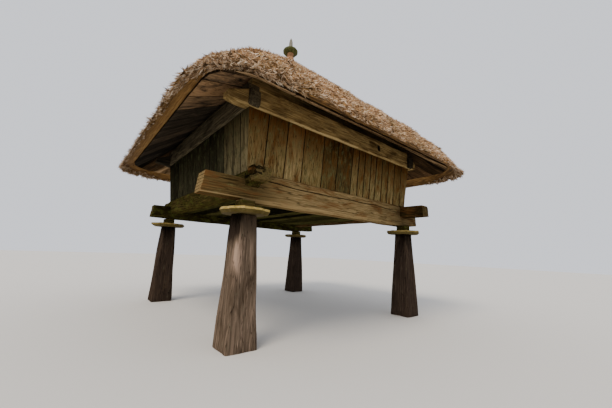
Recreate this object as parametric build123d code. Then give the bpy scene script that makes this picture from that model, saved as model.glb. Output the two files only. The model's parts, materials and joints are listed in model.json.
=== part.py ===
"""Raised timber granary with a hipped thatched roof.

A square room of upright boards stands on four big sill beams. The beams are half lapped
where they cross and rest on bearing blocks, wide flat capstones and tapering pillars, which
keep damp and mice away from the grain. Two rings of plates close the walls, and carry the
rafters, the boarded eaves and a thick coat of thatch with a turned finial on top.

The origin is on the ground at the middle of the plan. X runs to the right along the front,
Y to the back and Z up. All sizes are in millimetres.
"""

from build123d import *
import os
from math import cos, radians, sin, sqrt, tan

os.makedirs("parts", exist_ok=True)

# Plan of the room, over the outer faces of the sill beams
ROOM_SIDE = 5200

# Pillars: square, tapering, with the arrises taken off
PILLAR_HEIGHT = 2210
PILLAR_FOOT = 550
PILLAR_HEAD = 350
PILLAR_ARRIS = 28
PILLAR_INSET = 60

# Capstones: rough flat slabs, each with its own outline of radii from the pillar's axis
CAPSTONE_THICKNESS = 100
CAPSTONE_RADII = {
    "front_left": (430, 455, 425, 470, 440, 410, 450, 425, 465),
    "front_right": (470, 430, 450, 480, 455, 435, 475, 445),
    "back_left": (480, 460, 500, 455, 475, 490, 450, 470),
    "back_right": (455, 480, 440, 465, 490, 450, 430, 470, 445),
}
CAPSTONE_UNDERCUT = 45
CAPSTONE_TOP_BEVEL = 14
CAPSTONE_RIM = 58

# Bearing blocks between capstone and beam
BLOCK_WIDTH = 270
BLOCK_HEIGHT = 140
BLOCK_CHAMFER = 12

# Sill beams: the front and back ones lie under the left and right ones, which are less deep
SILL_HEIGHT = 572
UPPER_SILL_HEIGHT = 402
SILL_THICKNESS = 300
SILL_LAP_HEIGHT = 286
SILL_LOWER_CHAMFER = 62
SILL_UPPER_CHAMFER = 34

# Stubs of the sills past the corners, first the left and then the right end of a beam seen
# from outside: the length, and the levels of underside and top above the lowest sill
SILL_STUBS = {
    "front": ((765, 40, 405), (570, 50, 330)),
    "right": ((700, 230, 520), (480, 235, 520)),
    "back": ((640, 40, 400), (500, 10, 370)),
    "left": ((520, 240, 530), (400, 340, 572)),
}
STUB_TIP_SLOPE = 7

# The left sill's front stub is rotten: hollow along its outer arris and cleft at the end
ROT_LENGTH = 270
ROT_DEPTH = 110
ROT_WIDTH = 130
CLEFT_LENGTH = 130
CLEFT_DEPTH = 95
CLEFT_WIDTH = 45

# Floor: planks from front to back, let into a groove of the front and back sills
PLANK_COUNT = 13
PLANK_THICKNESS = 60
PLANK_GAP = 5
FLOOR_UNDERSIDE = 230
FLOOR_GROOVE_DEPTH = 60
FLOOR_END_CLEARANCE = 2

# Walls: upright boards that lean out a little and stand in grooves of sill and plate
WALL_HEIGHT = 1150
WALL_THICKNESS = 55
WALL_FOOT_INSET = 30
WALL_LEAN = 100
WALL_TONGUE = 22
WALL_GROOVE_CLEARANCE = 1.5
BOARD_GAP = 6
NARROW_BOARD = 350
NARROW_BOARD_GAP = 14
FRONT_SEAMS = (
    -2231, -1768, -1335, -767, -310, 192, 438, 672, 916, 1144, 1409, 1685, 1974, 2308,
)
LEFT_SEAMS = (-2180, -1690, -1225, -840, -163, 330, 760, 1180, 1565, 1995, 2320)
BACK_SEAMS = (-2190, -1720, -1290, -835, -420, 60, 520, 940, 1405, 1830, 2250)
RIGHT_SEAMS = (-2245, -1810, -1330, -905, -450, -15, 470, 905, 1320, 1790, 2215)

# Wall plates: half lapped like the sills, with tails past the corners that taper outwards
PLATE_HEIGHT = 430
PLATE_THICKNESS = 210
PLATE_OVERHANG = 60
PLATE_CHAMFER = 30
PLATE_TAILS = {"front": (380, 230), "right": (70, 230), "back": (230, 380), "left": (230, 70)}
TAIL_RISE = 45
TAIL_ROOT_HEIGHT = 315
TAIL_SLOPE = 23

# Peg hole in the front wall plate, given by its middle and size
PEG_HOLE_PLACE = 1150
PEG_HOLE_RISE = 225
PEG_HOLE_WIDTH = 80
PEG_HOLE_HEIGHT = 110
PEG_HOLE_DEPTH = 90

# Rafter plates: the thinner second ring
RAFTER_PLATE_HEIGHT = 237
RAFTER_PLATE_THICKNESS = 190
RAFTER_PLATE_INSET = 120
JOINT_GAP = 1

# Eaves: boards that slope down and out from the rafter plates under the thatch
EAVE_PITCH = 34
EAVE_BOARD_THICKNESS = 38
EAVE_BOARD_REACH = 3640
EAVE_BOARD_CORNER = 700
EAVE_BOARD_HEEL = 70
EAVE_BOARD_SEAT = 12
EAVE_BOARD_GAP = 14
EAVE_BOARDS_PER_SIDE = 11
KNEE_CORNER = 20
CORNER_STEPS = 5

# Rafters
RAFTER_PITCH = 42.5
RAFTER_DEPTH = 145
RAFTER_WIDTH = 110
RAFTER_SEAT = 115
COMMON_RAFTER_PLACES = (-1500, -750, 0, 750, 1500)
RAFTER_END_GAP = 6
KING_BLOCK_WIDTH = 300
KING_BLOCK_LENGTH = 620

# Thatch: one thick coat on four slopes, with rounded corners and a swelling nose at the eave
THATCH_REACH = 4000
THATCH_THICKNESS = 553
THATCH_EAVE_RADIUS = 900
THATCH_CROWN_ROUNDNESS = 0.7
THATCH_CROWN_WIDTH = 340
THATCH_NOSE_REACH = 570
THATCH_NOSE_STEPS = (0.12, 0.35, 0.65, 1.0)
THATCH_NOSE_SWELL = 0.85
THATCH_SLOPE_BANDS = 4
THATCH_LIP = 40

# Finial: a turned pot, a flattened ball and a spire
POT_RADIUS = 142
POT_HEIGHT = 300
POT_RING = 24
POT_RING_HEIGHT = 36
POT_NECK = 118
BALL_RADIUS = 250
BALL_HEIGHT = 180
BALL_SEAT = 70
BALL_STEPS = 8
FINIAL_SIDES = 20
SPIRE_RADIUS = 64
SPIRE_SHOULDER = 56
SPIRE_SHOULDER_SHARE = 0.55
SPIRE_TIP = 9
SPIRE_HEIGHT = 430

# Levels that follow from the sizes above
HALF_SIDE = ROOM_SIDE / 2
CAPSTONE_LEVEL = PILLAR_HEIGHT
BLOCK_LEVEL = CAPSTONE_LEVEL + CAPSTONE_THICKNESS
SILL_LEVEL = BLOCK_LEVEL + BLOCK_HEIGHT
LAP_LEVEL = SILL_LEVEL + SILL_LAP_HEIGHT
SILL_TOP = SILL_LEVEL + SILL_HEIGHT
UPPER_SILL_LEVEL = SILL_TOP - UPPER_SILL_HEIGHT
FLOOR_LEVEL = SILL_LEVEL + FLOOR_UNDERSIDE
SILL_INNER = HALF_SIDE - SILL_THICKNESS
WALL_FOOT = HALF_SIDE - WALL_FOOT_INSET
WALL_HEAD = WALL_FOOT + WALL_LEAN
PLATE_LEVEL = SILL_TOP + WALL_HEIGHT
PLATE_TOP = PLATE_LEVEL + PLATE_HEIGHT
PLATE_OUTER = WALL_HEAD + PLATE_OVERHANG
PLATE_INNER = PLATE_OUTER - PLATE_THICKNESS
PLATE_LAP_LEVEL = PLATE_LEVEL + PLATE_HEIGHT / 2
RAFTER_PLATE_TOP = PLATE_TOP + RAFTER_PLATE_HEIGHT
RAFTER_PLATE_OUTER = PLATE_OUTER - RAFTER_PLATE_INSET
RAFTER_PLATE_INNER = RAFTER_PLATE_OUTER - RAFTER_PLATE_THICKNESS
PILLAR_AXIS = HALF_SIDE - PILLAR_INSET
CORNERS = {
    "front_left": (-1, -1),
    "front_right": (1, -1),
    "back_left": (-1, 1),
    "back_right": (1, 1),
}

# Signs of x and y at the corners of a square, in turn
QUARTERS = ((1, 1), (-1, 1), (-1, -1), (1, -1))

# Turns about the vertical axis that bring a front piece to each side
SIDE_TURNS = {"front": 0, "right": 90, "back": 180, "left": 270}

# The eave boards' underside is let a little into the outer top arris of the rafter plates
EAVE_SLOPE = tan(radians(EAVE_PITCH))
EAVE_BOARD_RISE = EAVE_BOARD_THICKNESS / cos(radians(EAVE_PITCH))
KNEE = RAFTER_PLATE_OUTER - EAVE_BOARD_HEEL
KNEE_LEVEL = RAFTER_PLATE_TOP - EAVE_BOARD_SEAT + EAVE_BOARD_HEEL * EAVE_SLOPE + EAVE_BOARD_RISE
THATCH_EAVE_LEVEL = KNEE_LEVEL - (THATCH_REACH - KNEE) * EAVE_SLOPE

# The rafters are cut level where they sit on the rafter plates
RAFTER_SLOPE = tan(radians(RAFTER_PITCH))
RAFTER_RISE = RAFTER_DEPTH / cos(radians(RAFTER_PITCH))
RAFTER_KNEE_LEVEL = RAFTER_PLATE_TOP + RAFTER_RISE - RAFTER_SEAT * RAFTER_SLOPE
KING_BLOCK_TOP = RAFTER_KNEE_LEVEL + (KNEE - KING_BLOCK_WIDTH / 2) * RAFTER_SLOPE

# The thatch lies evenly thick on the rafters, up to a small flat crown under the finial
THATCH_RISE = THATCH_THICKNESS / cos(radians(RAFTER_PITCH))
THATCH_CROWN = RAFTER_KNEE_LEVEL + THATCH_RISE + (KNEE - THATCH_CROWN_WIDTH / 2) * RAFTER_SLOPE
BALL_LEVEL = THATCH_CROWN + POT_HEIGHT
SPIRE_LEVEL = BALL_LEVEL + BALL_HEIGHT


def block(low, high):
    """Box between two opposite corners."""
    size = [top - bottom for bottom, top in zip(low, high)]
    middle = [(top + bottom) / 2 for bottom, top in zip(low, high)]
    return Pos(*middle) * Box(*size)


def prism_along_x(points, start, end):
    """Solid from x = start to x = end whose section is given as (y, z) points."""
    section = Plane.YZ.offset(start) * make_face(Polyline(*points, close=True))
    return extrude(section, amount=end - start, dir=(1, 0, 0))


def stacked(outlines):
    """Solid with flat sides through a stack of outlines that have as many corners each."""
    faces = [Face(Wire.make_polygon(outline)) for outline in (outlines[0], outlines[-1])]
    for lower, upper in zip(outlines, outlines[1:]):
        for index, start in enumerate(lower):
            after = (index + 1) % len(lower)
            faces.append(Face(Wire.make_polygon([start, lower[after], upper[after]])))
            faces.append(Face(Wire.make_polygon([start, upper[after], upper[index]])))
    return Solid(Shell(faces)).clean()


def square(half, corner, level, corner_steps=1):
    """Corners of a square outline at a level, each cut by a chamfer or a stepped round."""
    reach = half - corner
    points = []
    for quarter, (x, y) in enumerate(QUARTERS):
        for step in range(corner_steps + 1):
            angle = radians(90 * (quarter + step / corner_steps))
            points.append((x * reach + corner * cos(angle), y * reach + corner * sin(angle), level))
    return points


def frustum(low_half, low_level, high_half, high_level):
    """Square body whose half width changes from one level to the other."""
    low = [(x * low_half, y * low_half, low_level) for x, y in QUARTERS]
    high = [(x * high_half, y * high_half, high_level) for x, y in QUARTERS]
    return stacked([low, high])


def turned(shape, side):
    """A front piece turned about the vertical axis to another side."""
    return Rot(0, 0, SIDE_TURNS[side]) * shape


def front_quarter(reach, low, high):
    """Wedge between the two plan diagonals, on the front side."""
    outline = Polyline((0, 0), (-reach, -reach), (reach, -reach), close=True)
    return Pos(0, 0, low) * extrude(make_face(outline), amount=high - low)


def pillar(corner):
    """Tapering square pillar with its arrises taken off."""
    foot = square(PILLAR_FOOT / 2, PILLAR_ARRIS, 0)
    head = square(PILLAR_HEAD / 2, PILLAR_ARRIS, PILLAR_HEIGHT)
    x, y = CORNERS[corner]
    return Pos(x * PILLAR_AXIS, y * PILLAR_AXIS, 0) * stacked([foot, head])


def capstone(corner):
    """Rough flat slab: undercut below, widest at the rim, with a worn top edge."""
    radii = CAPSTONE_RADII[corner]
    step = 360 / len(radii)

    def outline(drawn_in, level):
        points = []
        for index, radius in enumerate(radii):
            angle = radians(index * step)
            reach = radius - drawn_in
            points.append((reach * cos(angle), reach * sin(angle), level))
        return points

    slab = stacked(
        [
            outline(CAPSTONE_UNDERCUT, CAPSTONE_LEVEL),
            outline(0, CAPSTONE_LEVEL + CAPSTONE_RIM),
            outline(CAPSTONE_TOP_BEVEL, BLOCK_LEVEL),
        ]
    )
    x, y = CORNERS[corner]
    return Pos(x * PILLAR_AXIS, y * PILLAR_AXIS, 0) * slab


def bearing_block(corner):
    """Squared block that lifts the beams off the capstone."""
    x, y = CORNERS[corner]
    middle = BLOCK_LEVEL + BLOCK_HEIGHT / 2
    body = Pos(x * PILLAR_AXIS, y * PILLAR_AXIS, middle) * Box(BLOCK_WIDTH, BLOCK_WIDTH, BLOCK_HEIGHT)
    return chamfer(body.edges().filter_by(Axis.Z), BLOCK_CHAMFER)


def wall_ring(low, high, clearance=0.0):
    """Leaning ring of wall between two levels, grown on both faces by a clearance."""
    lean = WALL_LEAN / WALL_HEIGHT

    def outer(level):
        return WALL_FOOT + lean * (level - SILL_TOP) + clearance

    def inner(level):
        return outer(level) - WALL_THICKNESS - 2 * clearance

    whole = frustum(outer(low), low, outer(high), high)
    return whole - frustum(inner(low), low, inner(high), high)


def wall_groove(low, high):
    """Groove in a sill or plate that takes the tongues of the boards."""
    return wall_ring(low, high, WALL_GROOVE_CLEARANCE)


def long_beam(left_end, right_end, outer, inner, bottom, top, lower_chamfer, upper_chamfer):
    """Front beam along X with its outer arrises chamfered."""
    points = [
        (-inner, bottom),
        (-outer + lower_chamfer, bottom),
        (-outer, bottom + lower_chamfer),
        (-outer, top - upper_chamfer),
        (-outer + upper_chamfer, top),
        (-inner, top),
    ]
    return prism_along_x(points, -left_end, right_end)


def sill_stub(beam, sign, stub):
    """Sill beam with one end cut to its stub's length, levels and sloping tip."""
    length, low, high = stub
    end = HALF_SIDE + length
    wide = 2 * HALF_SIDE
    past = sorted((sign * HALF_SIDE, sign * (end + 1)))
    beam -= block((past[0], -wide, 0), (past[1], 0, SILL_LEVEL + low))
    if high < SILL_HEIGHT:
        beam -= block((past[0], -wide, SILL_LEVEL + high), (past[1], 0, SILL_TOP + 1))
    drawn_in = tan(radians(STUB_TIP_SLOPE)) * (high - low)
    tip = [
        (sign * (end - drawn_in), SILL_LEVEL + high),
        (sign * end, SILL_LEVEL + low),
        (sign * (end + 1), SILL_LEVEL + low),
        (sign * (end + 1), SILL_LEVEL + high),
    ]
    wedge = Plane.XZ * make_face(Polyline(*tip, close=True))
    return beam - extrude(wedge, amount=wide, dir=(0, -1, 0))


def rot(length):
    """Waste of the rotten stub at the right end of a beam, as a list of blocks."""
    end = HALF_SIDE + length
    middle = -HALF_SIDE + SILL_THICKNESS / 2
    hollow = block(
        (HALF_SIDE, -HALF_SIDE, SILL_TOP - ROT_DEPTH),
        (HALF_SIDE + ROT_LENGTH, -HALF_SIDE + ROT_WIDTH, SILL_TOP + 1),
    )
    cleft = block(
        (end - CLEFT_LENGTH, middle - CLEFT_WIDTH / 2, SILL_TOP - CLEFT_DEPTH),
        (end + 1, middle + CLEFT_WIDTH / 2, SILL_TOP + 1),
    )
    return [hollow, cleft]


def sill_beam(side):
    """Sill beam with its laps, stubs past the corners and the grooves for walls and floor.

    The lower beams of the crossing keep their lower half in the lap and the upper beams
    their upper half. Each stub is cut back in height past the corner.
    """
    lies_low = side in ("front", "back")
    left, right = SILL_STUBS[side]
    beam = long_beam(
        HALF_SIDE + left[0], HALF_SIDE + right[0], HALF_SIDE, SILL_INNER,
        SILL_LEVEL if lies_low else UPPER_SILL_LEVEL, SILL_TOP,
        SILL_LOWER_CHAMFER, SILL_UPPER_CHAMFER,
    )
    for sign, stub in ((-1, left), (1, right)):
        lap = sorted((sign * SILL_INNER, sign * HALF_SIDE))
        if lies_low:
            beam -= block((lap[0], -2 * HALF_SIDE, LAP_LEVEL), (lap[1], 0, SILL_TOP + 1))
        else:
            beam -= block((lap[0], -2 * HALF_SIDE, 0), (lap[1], 0, LAP_LEVEL))
        beam = sill_stub(beam, sign, stub)
    beam -= wall_groove(SILL_TOP - WALL_TONGUE, SILL_TOP + 1)
    if lies_low:
        beam -= block(
            (-SILL_INNER, -SILL_INNER - FLOOR_GROOVE_DEPTH, FLOOR_LEVEL),
            (SILL_INNER, -SILL_INNER + 1, FLOOR_LEVEL + PLANK_THICKNESS),
        )
    if side == "left":
        for waste in rot(right[0]):
            beam -= waste
    return turned(beam, side)


def floor_planks():
    """Planks from front to back, their ends in the grooves of the front and back sills."""
    clear_width = 2 * SILL_INNER - 2 * PLANK_GAP
    pitch = (clear_width + PLANK_GAP) / PLANK_COUNT
    reach = SILL_INNER + FLOOR_GROOVE_DEPTH - FLOOR_END_CLEARANCE
    planks = []
    for index in range(PLANK_COUNT):
        left = -clear_width / 2 + index * pitch
        low = (left, -reach, FLOOR_LEVEL)
        high = (left + pitch - PLANK_GAP, reach, FLOOR_LEVEL + PLANK_THICKNESS)
        planks.append(block(low, high))
    return Compound(children=planks)


def wall(side, seams):
    """Upright boards of one side, with a shadow gap at each seam and mitred corners."""
    low = SILL_TOP - WALL_TONGUE
    high = PLATE_LEVEL + WALL_TONGUE
    reach = WALL_HEAD + WALL_LEAN
    slab = wall_ring(low, high) & front_quarter(reach, low, high)
    edges = (-reach,) + tuple(seams) + (reach,)
    boards = []
    for left, right in zip(edges, edges[1:]):
        trim = (NARROW_BOARD_GAP if right - left < NARROW_BOARD else BOARD_GAP) / 2
        strip = block((left + trim, -reach, low), (right - trim, 0, high))
        boards.append(turned((slab & strip).solid(), side))
    return Compound(children=boards)


def wall_plate(side):
    """Wall plate with laps at the corners and tails that taper outwards."""
    lies_low = side in ("front", "back")
    left_tail, right_tail = PLATE_TAILS[side]
    ends = ((-1, PLATE_OUTER + left_tail), (1, PLATE_OUTER + right_tail))
    section = [
        (-PLATE_INNER, PLATE_LEVEL),
        (-PLATE_OUTER + PLATE_CHAMFER, PLATE_LEVEL),
        (-PLATE_OUTER, PLATE_LEVEL + PLATE_CHAMFER),
        (-PLATE_OUTER, PLATE_TOP),
        (-PLATE_INNER, PLATE_TOP),
    ]
    plate = prism_along_x(section, -ends[0][1], ends[1][1])
    for sign, end in ends:
        lap = sorted((sign * PLATE_INNER, sign * PLATE_OUTER))
        if lies_low:
            low, high = PLATE_LAP_LEVEL, PLATE_TOP + 1
        else:
            low, high = PLATE_LEVEL - 1, PLATE_LAP_LEVEL
        plate -= block((lap[0], -2 * PLATE_OUTER, low), (lap[1], 0, high))
        plate -= tail_waste(sign, end)
    plate -= wall_groove(PLATE_LEVEL - 1, PLATE_LEVEL + WALL_TONGUE)
    if side == "front":
        plate -= peg_hole()
    return turned(plate, side)


def tail_waste(sign, end):
    """Waste under and over a plate's tail, which leaves a curved underside and a sloping top."""
    root = (sign * PLATE_OUTER, PLATE_LEVEL)
    below = (sign * PLATE_OUTER, PLATE_LEVEL - 1)
    middle = (sign * (PLATE_OUTER + end) / 2, PLATE_LEVEL + TAIL_RISE / 4)
    tip = (sign * (end + 1), PLATE_LEVEL + TAIL_RISE)
    corner = (tip[0], below[1])
    outline = [
        Line(below, root),
        ThreePointArc(root, middle, tip),
        Line(tip, corner),
        Line(corner, below),
    ]
    under = Plane.XZ * make_face(outline)
    fall = tan(radians(TAIL_SLOPE)) * (end + 1 - PLATE_OUTER)
    top = [
        (root[0], PLATE_LEVEL + TAIL_ROOT_HEIGHT),
        (tip[0], PLATE_LEVEL + TAIL_ROOT_HEIGHT - fall),
        (tip[0], PLATE_TOP + 1),
        (root[0], PLATE_TOP + 1),
    ]
    over = Plane.XZ * make_face(Polyline(*top, close=True))
    toward_outside = (0, -1, 0)
    waste = extrude(under, amount=2 * PLATE_OUTER, dir=toward_outside)
    return waste + extrude(over, amount=2 * PLATE_OUTER, dir=toward_outside)


def peg_hole():
    """Empty square hole of a lost peg in the front plate's face."""
    middle = PLATE_LEVEL + PEG_HOLE_RISE
    return block(
        (PEG_HOLE_PLACE - PEG_HOLE_WIDTH / 2, -PLATE_OUTER - 1, middle - PEG_HOLE_HEIGHT / 2),
        (PEG_HOLE_PLACE + PEG_HOLE_WIDTH / 2, -PLATE_OUTER + PEG_HOLE_DEPTH, middle + PEG_HOLE_HEIGHT / 2),
    )


def rounded_square(half, corner, level):
    """Corners of a square outline whose rounded corners are worked in short straight steps."""
    return square(half, corner, level, CORNER_STEPS)


def under_eave(drop=0.0):
    """Body whose sloping top is the upper face of the eave boards, lowered by drop."""
    low = rounded_square(THATCH_REACH, THATCH_EAVE_RADIUS, THATCH_EAVE_LEVEL - drop)
    high = rounded_square(KNEE, KNEE_CORNER, KNEE_LEVEL - drop)
    return stacked([low, high])


def eave_shell():
    """Sloping skirt of the eave boards before it is cut into boards."""
    depth = KNEE_LEVEL - THATCH_EAVE_LEVEL + EAVE_BOARD_RISE
    base = THATCH_EAVE_LEVEL - EAVE_BOARD_RISE
    skirt = under_eave() - under_eave(EAVE_BOARD_RISE)
    outline = [
        rounded_square(EAVE_BOARD_REACH, EAVE_BOARD_CORNER, level) for level in (base, base + depth)
    ]
    reach = stacked(outline)
    heart = block((-KNEE, -KNEE, base), (KNEE, KNEE, KNEE_LEVEL + 1))
    return (skirt & reach) - heart


def rafter_plate(side, half_length, skirt):
    """Thin plate on the wall plates, bevelled where the eave boards are let in."""
    plate = block(
        (-half_length, -RAFTER_PLATE_OUTER, PLATE_TOP),
        (half_length, -RAFTER_PLATE_INNER, RAFTER_PLATE_TOP),
    )
    return turned(plate, side) - skirt


def eave_boards(side, skirt):
    """Boards that fan out evenly from the plan's middle, with gaps between them."""
    step = 2 * KNEE / EAVE_BOARDS_PER_SIDE
    scale = THATCH_REACH / KNEE
    base = THATCH_EAVE_LEVEL - EAVE_BOARD_RISE
    boards = []
    for index in range(EAVE_BOARDS_PER_SIDE):
        left = (-KNEE + index * step + EAVE_BOARD_GAP / 2) * scale
        right = (-KNEE + (index + 1) * step - EAVE_BOARD_GAP / 2) * scale
        fan = Polyline((0, 0), (left, -THATCH_REACH), (right, -THATCH_REACH), close=True)
        sector = Pos(0, 0, base) * extrude(make_face(fan), amount=KNEE_LEVEL - base)
        boards.append(turned((skirt & sector).solid(), side))
    return Compound(children=boards)


def rafter_profile(slope_share, foot, head):
    """Side of a rafter as (distance, level) points, cut level over the plate.

    Distances run outwards from the roof's middle. The slope share is 1 for a common
    rafter, and the share of the pitch that a hip has along its own run.
    """
    slope = RAFTER_SLOPE * slope_share
    knee = KNEE / slope_share
    drop = 0 if slope_share == 1 else RAFTER_WIDTH / 2 * slope

    def top(distance):
        return RAFTER_KNEE_LEVEL - drop + (knee - distance) * slope

    seat_start = knee - (RAFTER_PLATE_TOP + RAFTER_RISE - top(knee)) / slope
    return [
        (foot, top(foot)),
        (foot, RAFTER_PLATE_TOP),
        (seat_start, RAFTER_PLATE_TOP),
        (head, top(head) - RAFTER_RISE),
        (head, top(head)),
    ]


def rafter(foot, head, slope_share=1.0):
    """Rafter along -Y from its head to its foot, centred on x = 0."""
    points = [(-distance, level) for distance, level in rafter_profile(slope_share, foot, head)]
    return prism_along_x(points, -RAFTER_WIDTH / 2, RAFTER_WIDTH / 2)


def common_rafters():
    """Rafters square to each wall, the outer ones cut off along the hips."""
    foot = KNEE - RAFTER_END_GAP
    hip_clearance = (RAFTER_WIDTH / 2 + RAFTER_END_GAP) * sqrt(2)
    between_hips = Pos(0, -hip_clearance, 0) * front_quarter(2 * KNEE, 0, THATCH_CROWN)
    head = KING_BLOCK_WIDTH / 2
    rafters = []
    for side in SIDE_TURNS:
        for place in COMMON_RAFTER_PLACES:
            shape = Pos(place, 0, 0) * rafter(foot, head)
            if place:
                shape = (shape & between_hips).solid()
            rafters.append(turned(shape, side))
    return Compound(children=rafters)


def hip_rafters():
    """Four rafters under the hips, from the plates' corners to the king block."""
    foot = (KNEE - RAFTER_END_GAP) * sqrt(2) - RAFTER_WIDTH / 2
    shape = rafter(foot, KING_BLOCK_WIDTH / 2, 1 / sqrt(2))
    return Compound(children=[Rot(0, 0, angle) * shape for angle in (45, 135, 225, 315)])


def king_block():
    """Eight-sided block that takes the heads of the rafters."""
    outline = RegularPolygon(KING_BLOCK_WIDTH / 2, 8, major_radius=False, rotation=22.5)
    return Pos(0, 0, KING_BLOCK_TOP - KING_BLOCK_LENGTH) * extrude(outline, amount=KING_BLOCK_LENGTH)


def thatch_section(reach, level):
    """Outline of the thatch's outside, rounder in its share as it rises."""
    share = (THATCH_REACH - reach) / (THATCH_REACH - THATCH_CROWN_WIDTH / 2)
    at_eave = THATCH_EAVE_RADIUS / THATCH_REACH
    roundness = at_eave + (THATCH_CROWN_ROUNDNESS - at_eave) * share
    return rounded_square(reach, roundness * reach, level)


def thatch_body():
    """Outside of the thatch, from the lip over the swelling nose to the crown."""
    nose_end = THATCH_REACH - THATCH_NOSE_REACH
    nose_level = THATCH_CROWN - (nose_end - THATCH_CROWN_WIDTH / 2) * RAFTER_SLOPE
    lip_top = THATCH_EAVE_LEVEL + THATCH_LIP
    sections = [
        thatch_section(THATCH_REACH, THATCH_EAVE_LEVEL),
        thatch_section(THATCH_REACH, lip_top),
    ]
    for step in THATCH_NOSE_STEPS:
        reach = THATCH_REACH - THATCH_NOSE_REACH * step
        level = lip_top + (nose_level - lip_top) * step**THATCH_NOSE_SWELL
        sections.append(thatch_section(reach, level))
    for band in range(1, THATCH_SLOPE_BANDS + 1):
        share = band / THATCH_SLOPE_BANDS
        reach = nose_end + (THATCH_CROWN_WIDTH / 2 - nose_end) * share
        level = nose_level + (THATCH_CROWN - nose_level) * share
        sections.append(thatch_section(reach, level))
    return stacked(sections)


def thatch_slope():
    """Front slope of the thatch, which lies on the rafters and the eave boards."""
    peak = RAFTER_KNEE_LEVEL + (KNEE - 1) * RAFTER_SLOPE
    attic = frustum(KNEE, RAFTER_KNEE_LEVEL, 1, peak)
    step = block((-KNEE, -KNEE, THATCH_EAVE_LEVEL), (KNEE, KNEE, RAFTER_KNEE_LEVEL))
    quarter = front_quarter(2 * THATCH_REACH, 0, THATCH_CROWN + 1)
    return (thatch_body() - under_eave() - attic - step) & quarter


def turned_piece(points, level):
    """Round piece with flat facets from (radius, height) points, standing on a level."""
    outlines = []
    for radius, height in points:
        outline = []
        for side in range(FINIAL_SIDES):
            angle = radians(360 * side / FINIAL_SIDES)
            outline.append((radius * cos(angle), radius * sin(angle), level + height))
        outlines.append(outline)
    return stacked(outlines)


def finial_pot():
    """Short turned pot with a ring at its foot, set on the crown of the thatch."""
    ring = POT_RADIUS + POT_RING
    shoulder = POT_HEIGHT - POT_RING_HEIGHT
    return turned_piece(
        [
            (ring, 0),
            (ring, POT_RING_HEIGHT),
            (POT_RADIUS, POT_RING_HEIGHT + POT_RING),
            (POT_NECK, shoulder),
            (POT_RADIUS, POT_HEIGHT),
        ],
        THATCH_CROWN,
    )


def finial_ball():
    """Flattened ball: an oval rim that meets small flats at top and bottom."""
    half = BALL_HEIGHT / 2
    rim = BALL_RADIUS - BALL_SEAT
    profile = []
    for step in range(BALL_STEPS + 1):
        angle = radians(180 * step / BALL_STEPS)
        profile.append((BALL_SEAT + rim * sin(angle), half - half * cos(angle)))
    return turned_piece(profile, BALL_LEVEL)


def finial_spire():
    """Slim spire on the ball."""
    return turned_piece(
        [
            (SPIRE_RADIUS, 0),
            (SPIRE_SHOULDER, SPIRE_HEIGHT * SPIRE_SHOULDER_SHARE),
            (SPIRE_TIP, SPIRE_HEIGHT),
        ],
        SPIRE_LEVEL,
    )


def build():
    """All pieces by their node names."""
    pieces = {}
    for corner in CORNERS:
        pieces[f"pillar_{corner}"] = pillar(corner)
        pieces[f"capstone_{corner}"] = capstone(corner)
        pieces[f"bearing_block_{corner}"] = bearing_block(corner)

    for side in SIDE_TURNS:
        pieces[f"sill_beam_{side}"] = sill_beam(side)
    pieces["floor_planks"] = floor_planks()

    seams = {"front": FRONT_SEAMS, "right": RIGHT_SEAMS, "back": BACK_SEAMS, "left": LEFT_SEAMS}
    for side, places in seams.items():
        pieces[f"wall_{side}"] = wall(side, places)

    for side in SIDE_TURNS:
        pieces[f"wall_plate_{side}"] = wall_plate(side)

    skirt = eave_shell()
    between_plates = RAFTER_PLATE_INNER - JOINT_GAP
    for side in SIDE_TURNS:
        through = side in ("front", "back")
        half_length = RAFTER_PLATE_OUTER if through else between_plates
        pieces[f"rafter_plate_{side}"] = rafter_plate(side, half_length, skirt)
        pieces[f"eave_boards_{side}"] = eave_boards(side, skirt)

    pieces["common_rafters"] = common_rafters()
    pieces["hip_rafters"] = hip_rafters()
    pieces["king_block"] = king_block()

    slope = thatch_slope()
    for side in SIDE_TURNS:
        pieces[f"thatch_{side}"] = turned(slope, side)

    pieces["finial_pot"] = finial_pot()
    pieces["finial_ball"] = finial_ball()
    pieces["finial_spire"] = finial_spire()
    return pieces


for name, shape in build().items():
    export_step(shape, f"parts/{name}.step")
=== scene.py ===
"""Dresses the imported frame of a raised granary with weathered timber, stone and thatch.

The CAD nodes give every place and size. Each timber and capstone here is a worn copy of its
node, the finial is turned again with finer curves, and the thatch is one thick coat with straw
laid over it. Sizes are in metres, with X to the right along the front and Z up.
"""

import json
import logging
import math
import random
from dataclasses import dataclass
from enum import Enum
from functools import partial
from typing import Any, Callable, Iterable, Sequence

import bmesh
import bpy
import numpy
from mathutils import Matrix, Vector, noise

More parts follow.
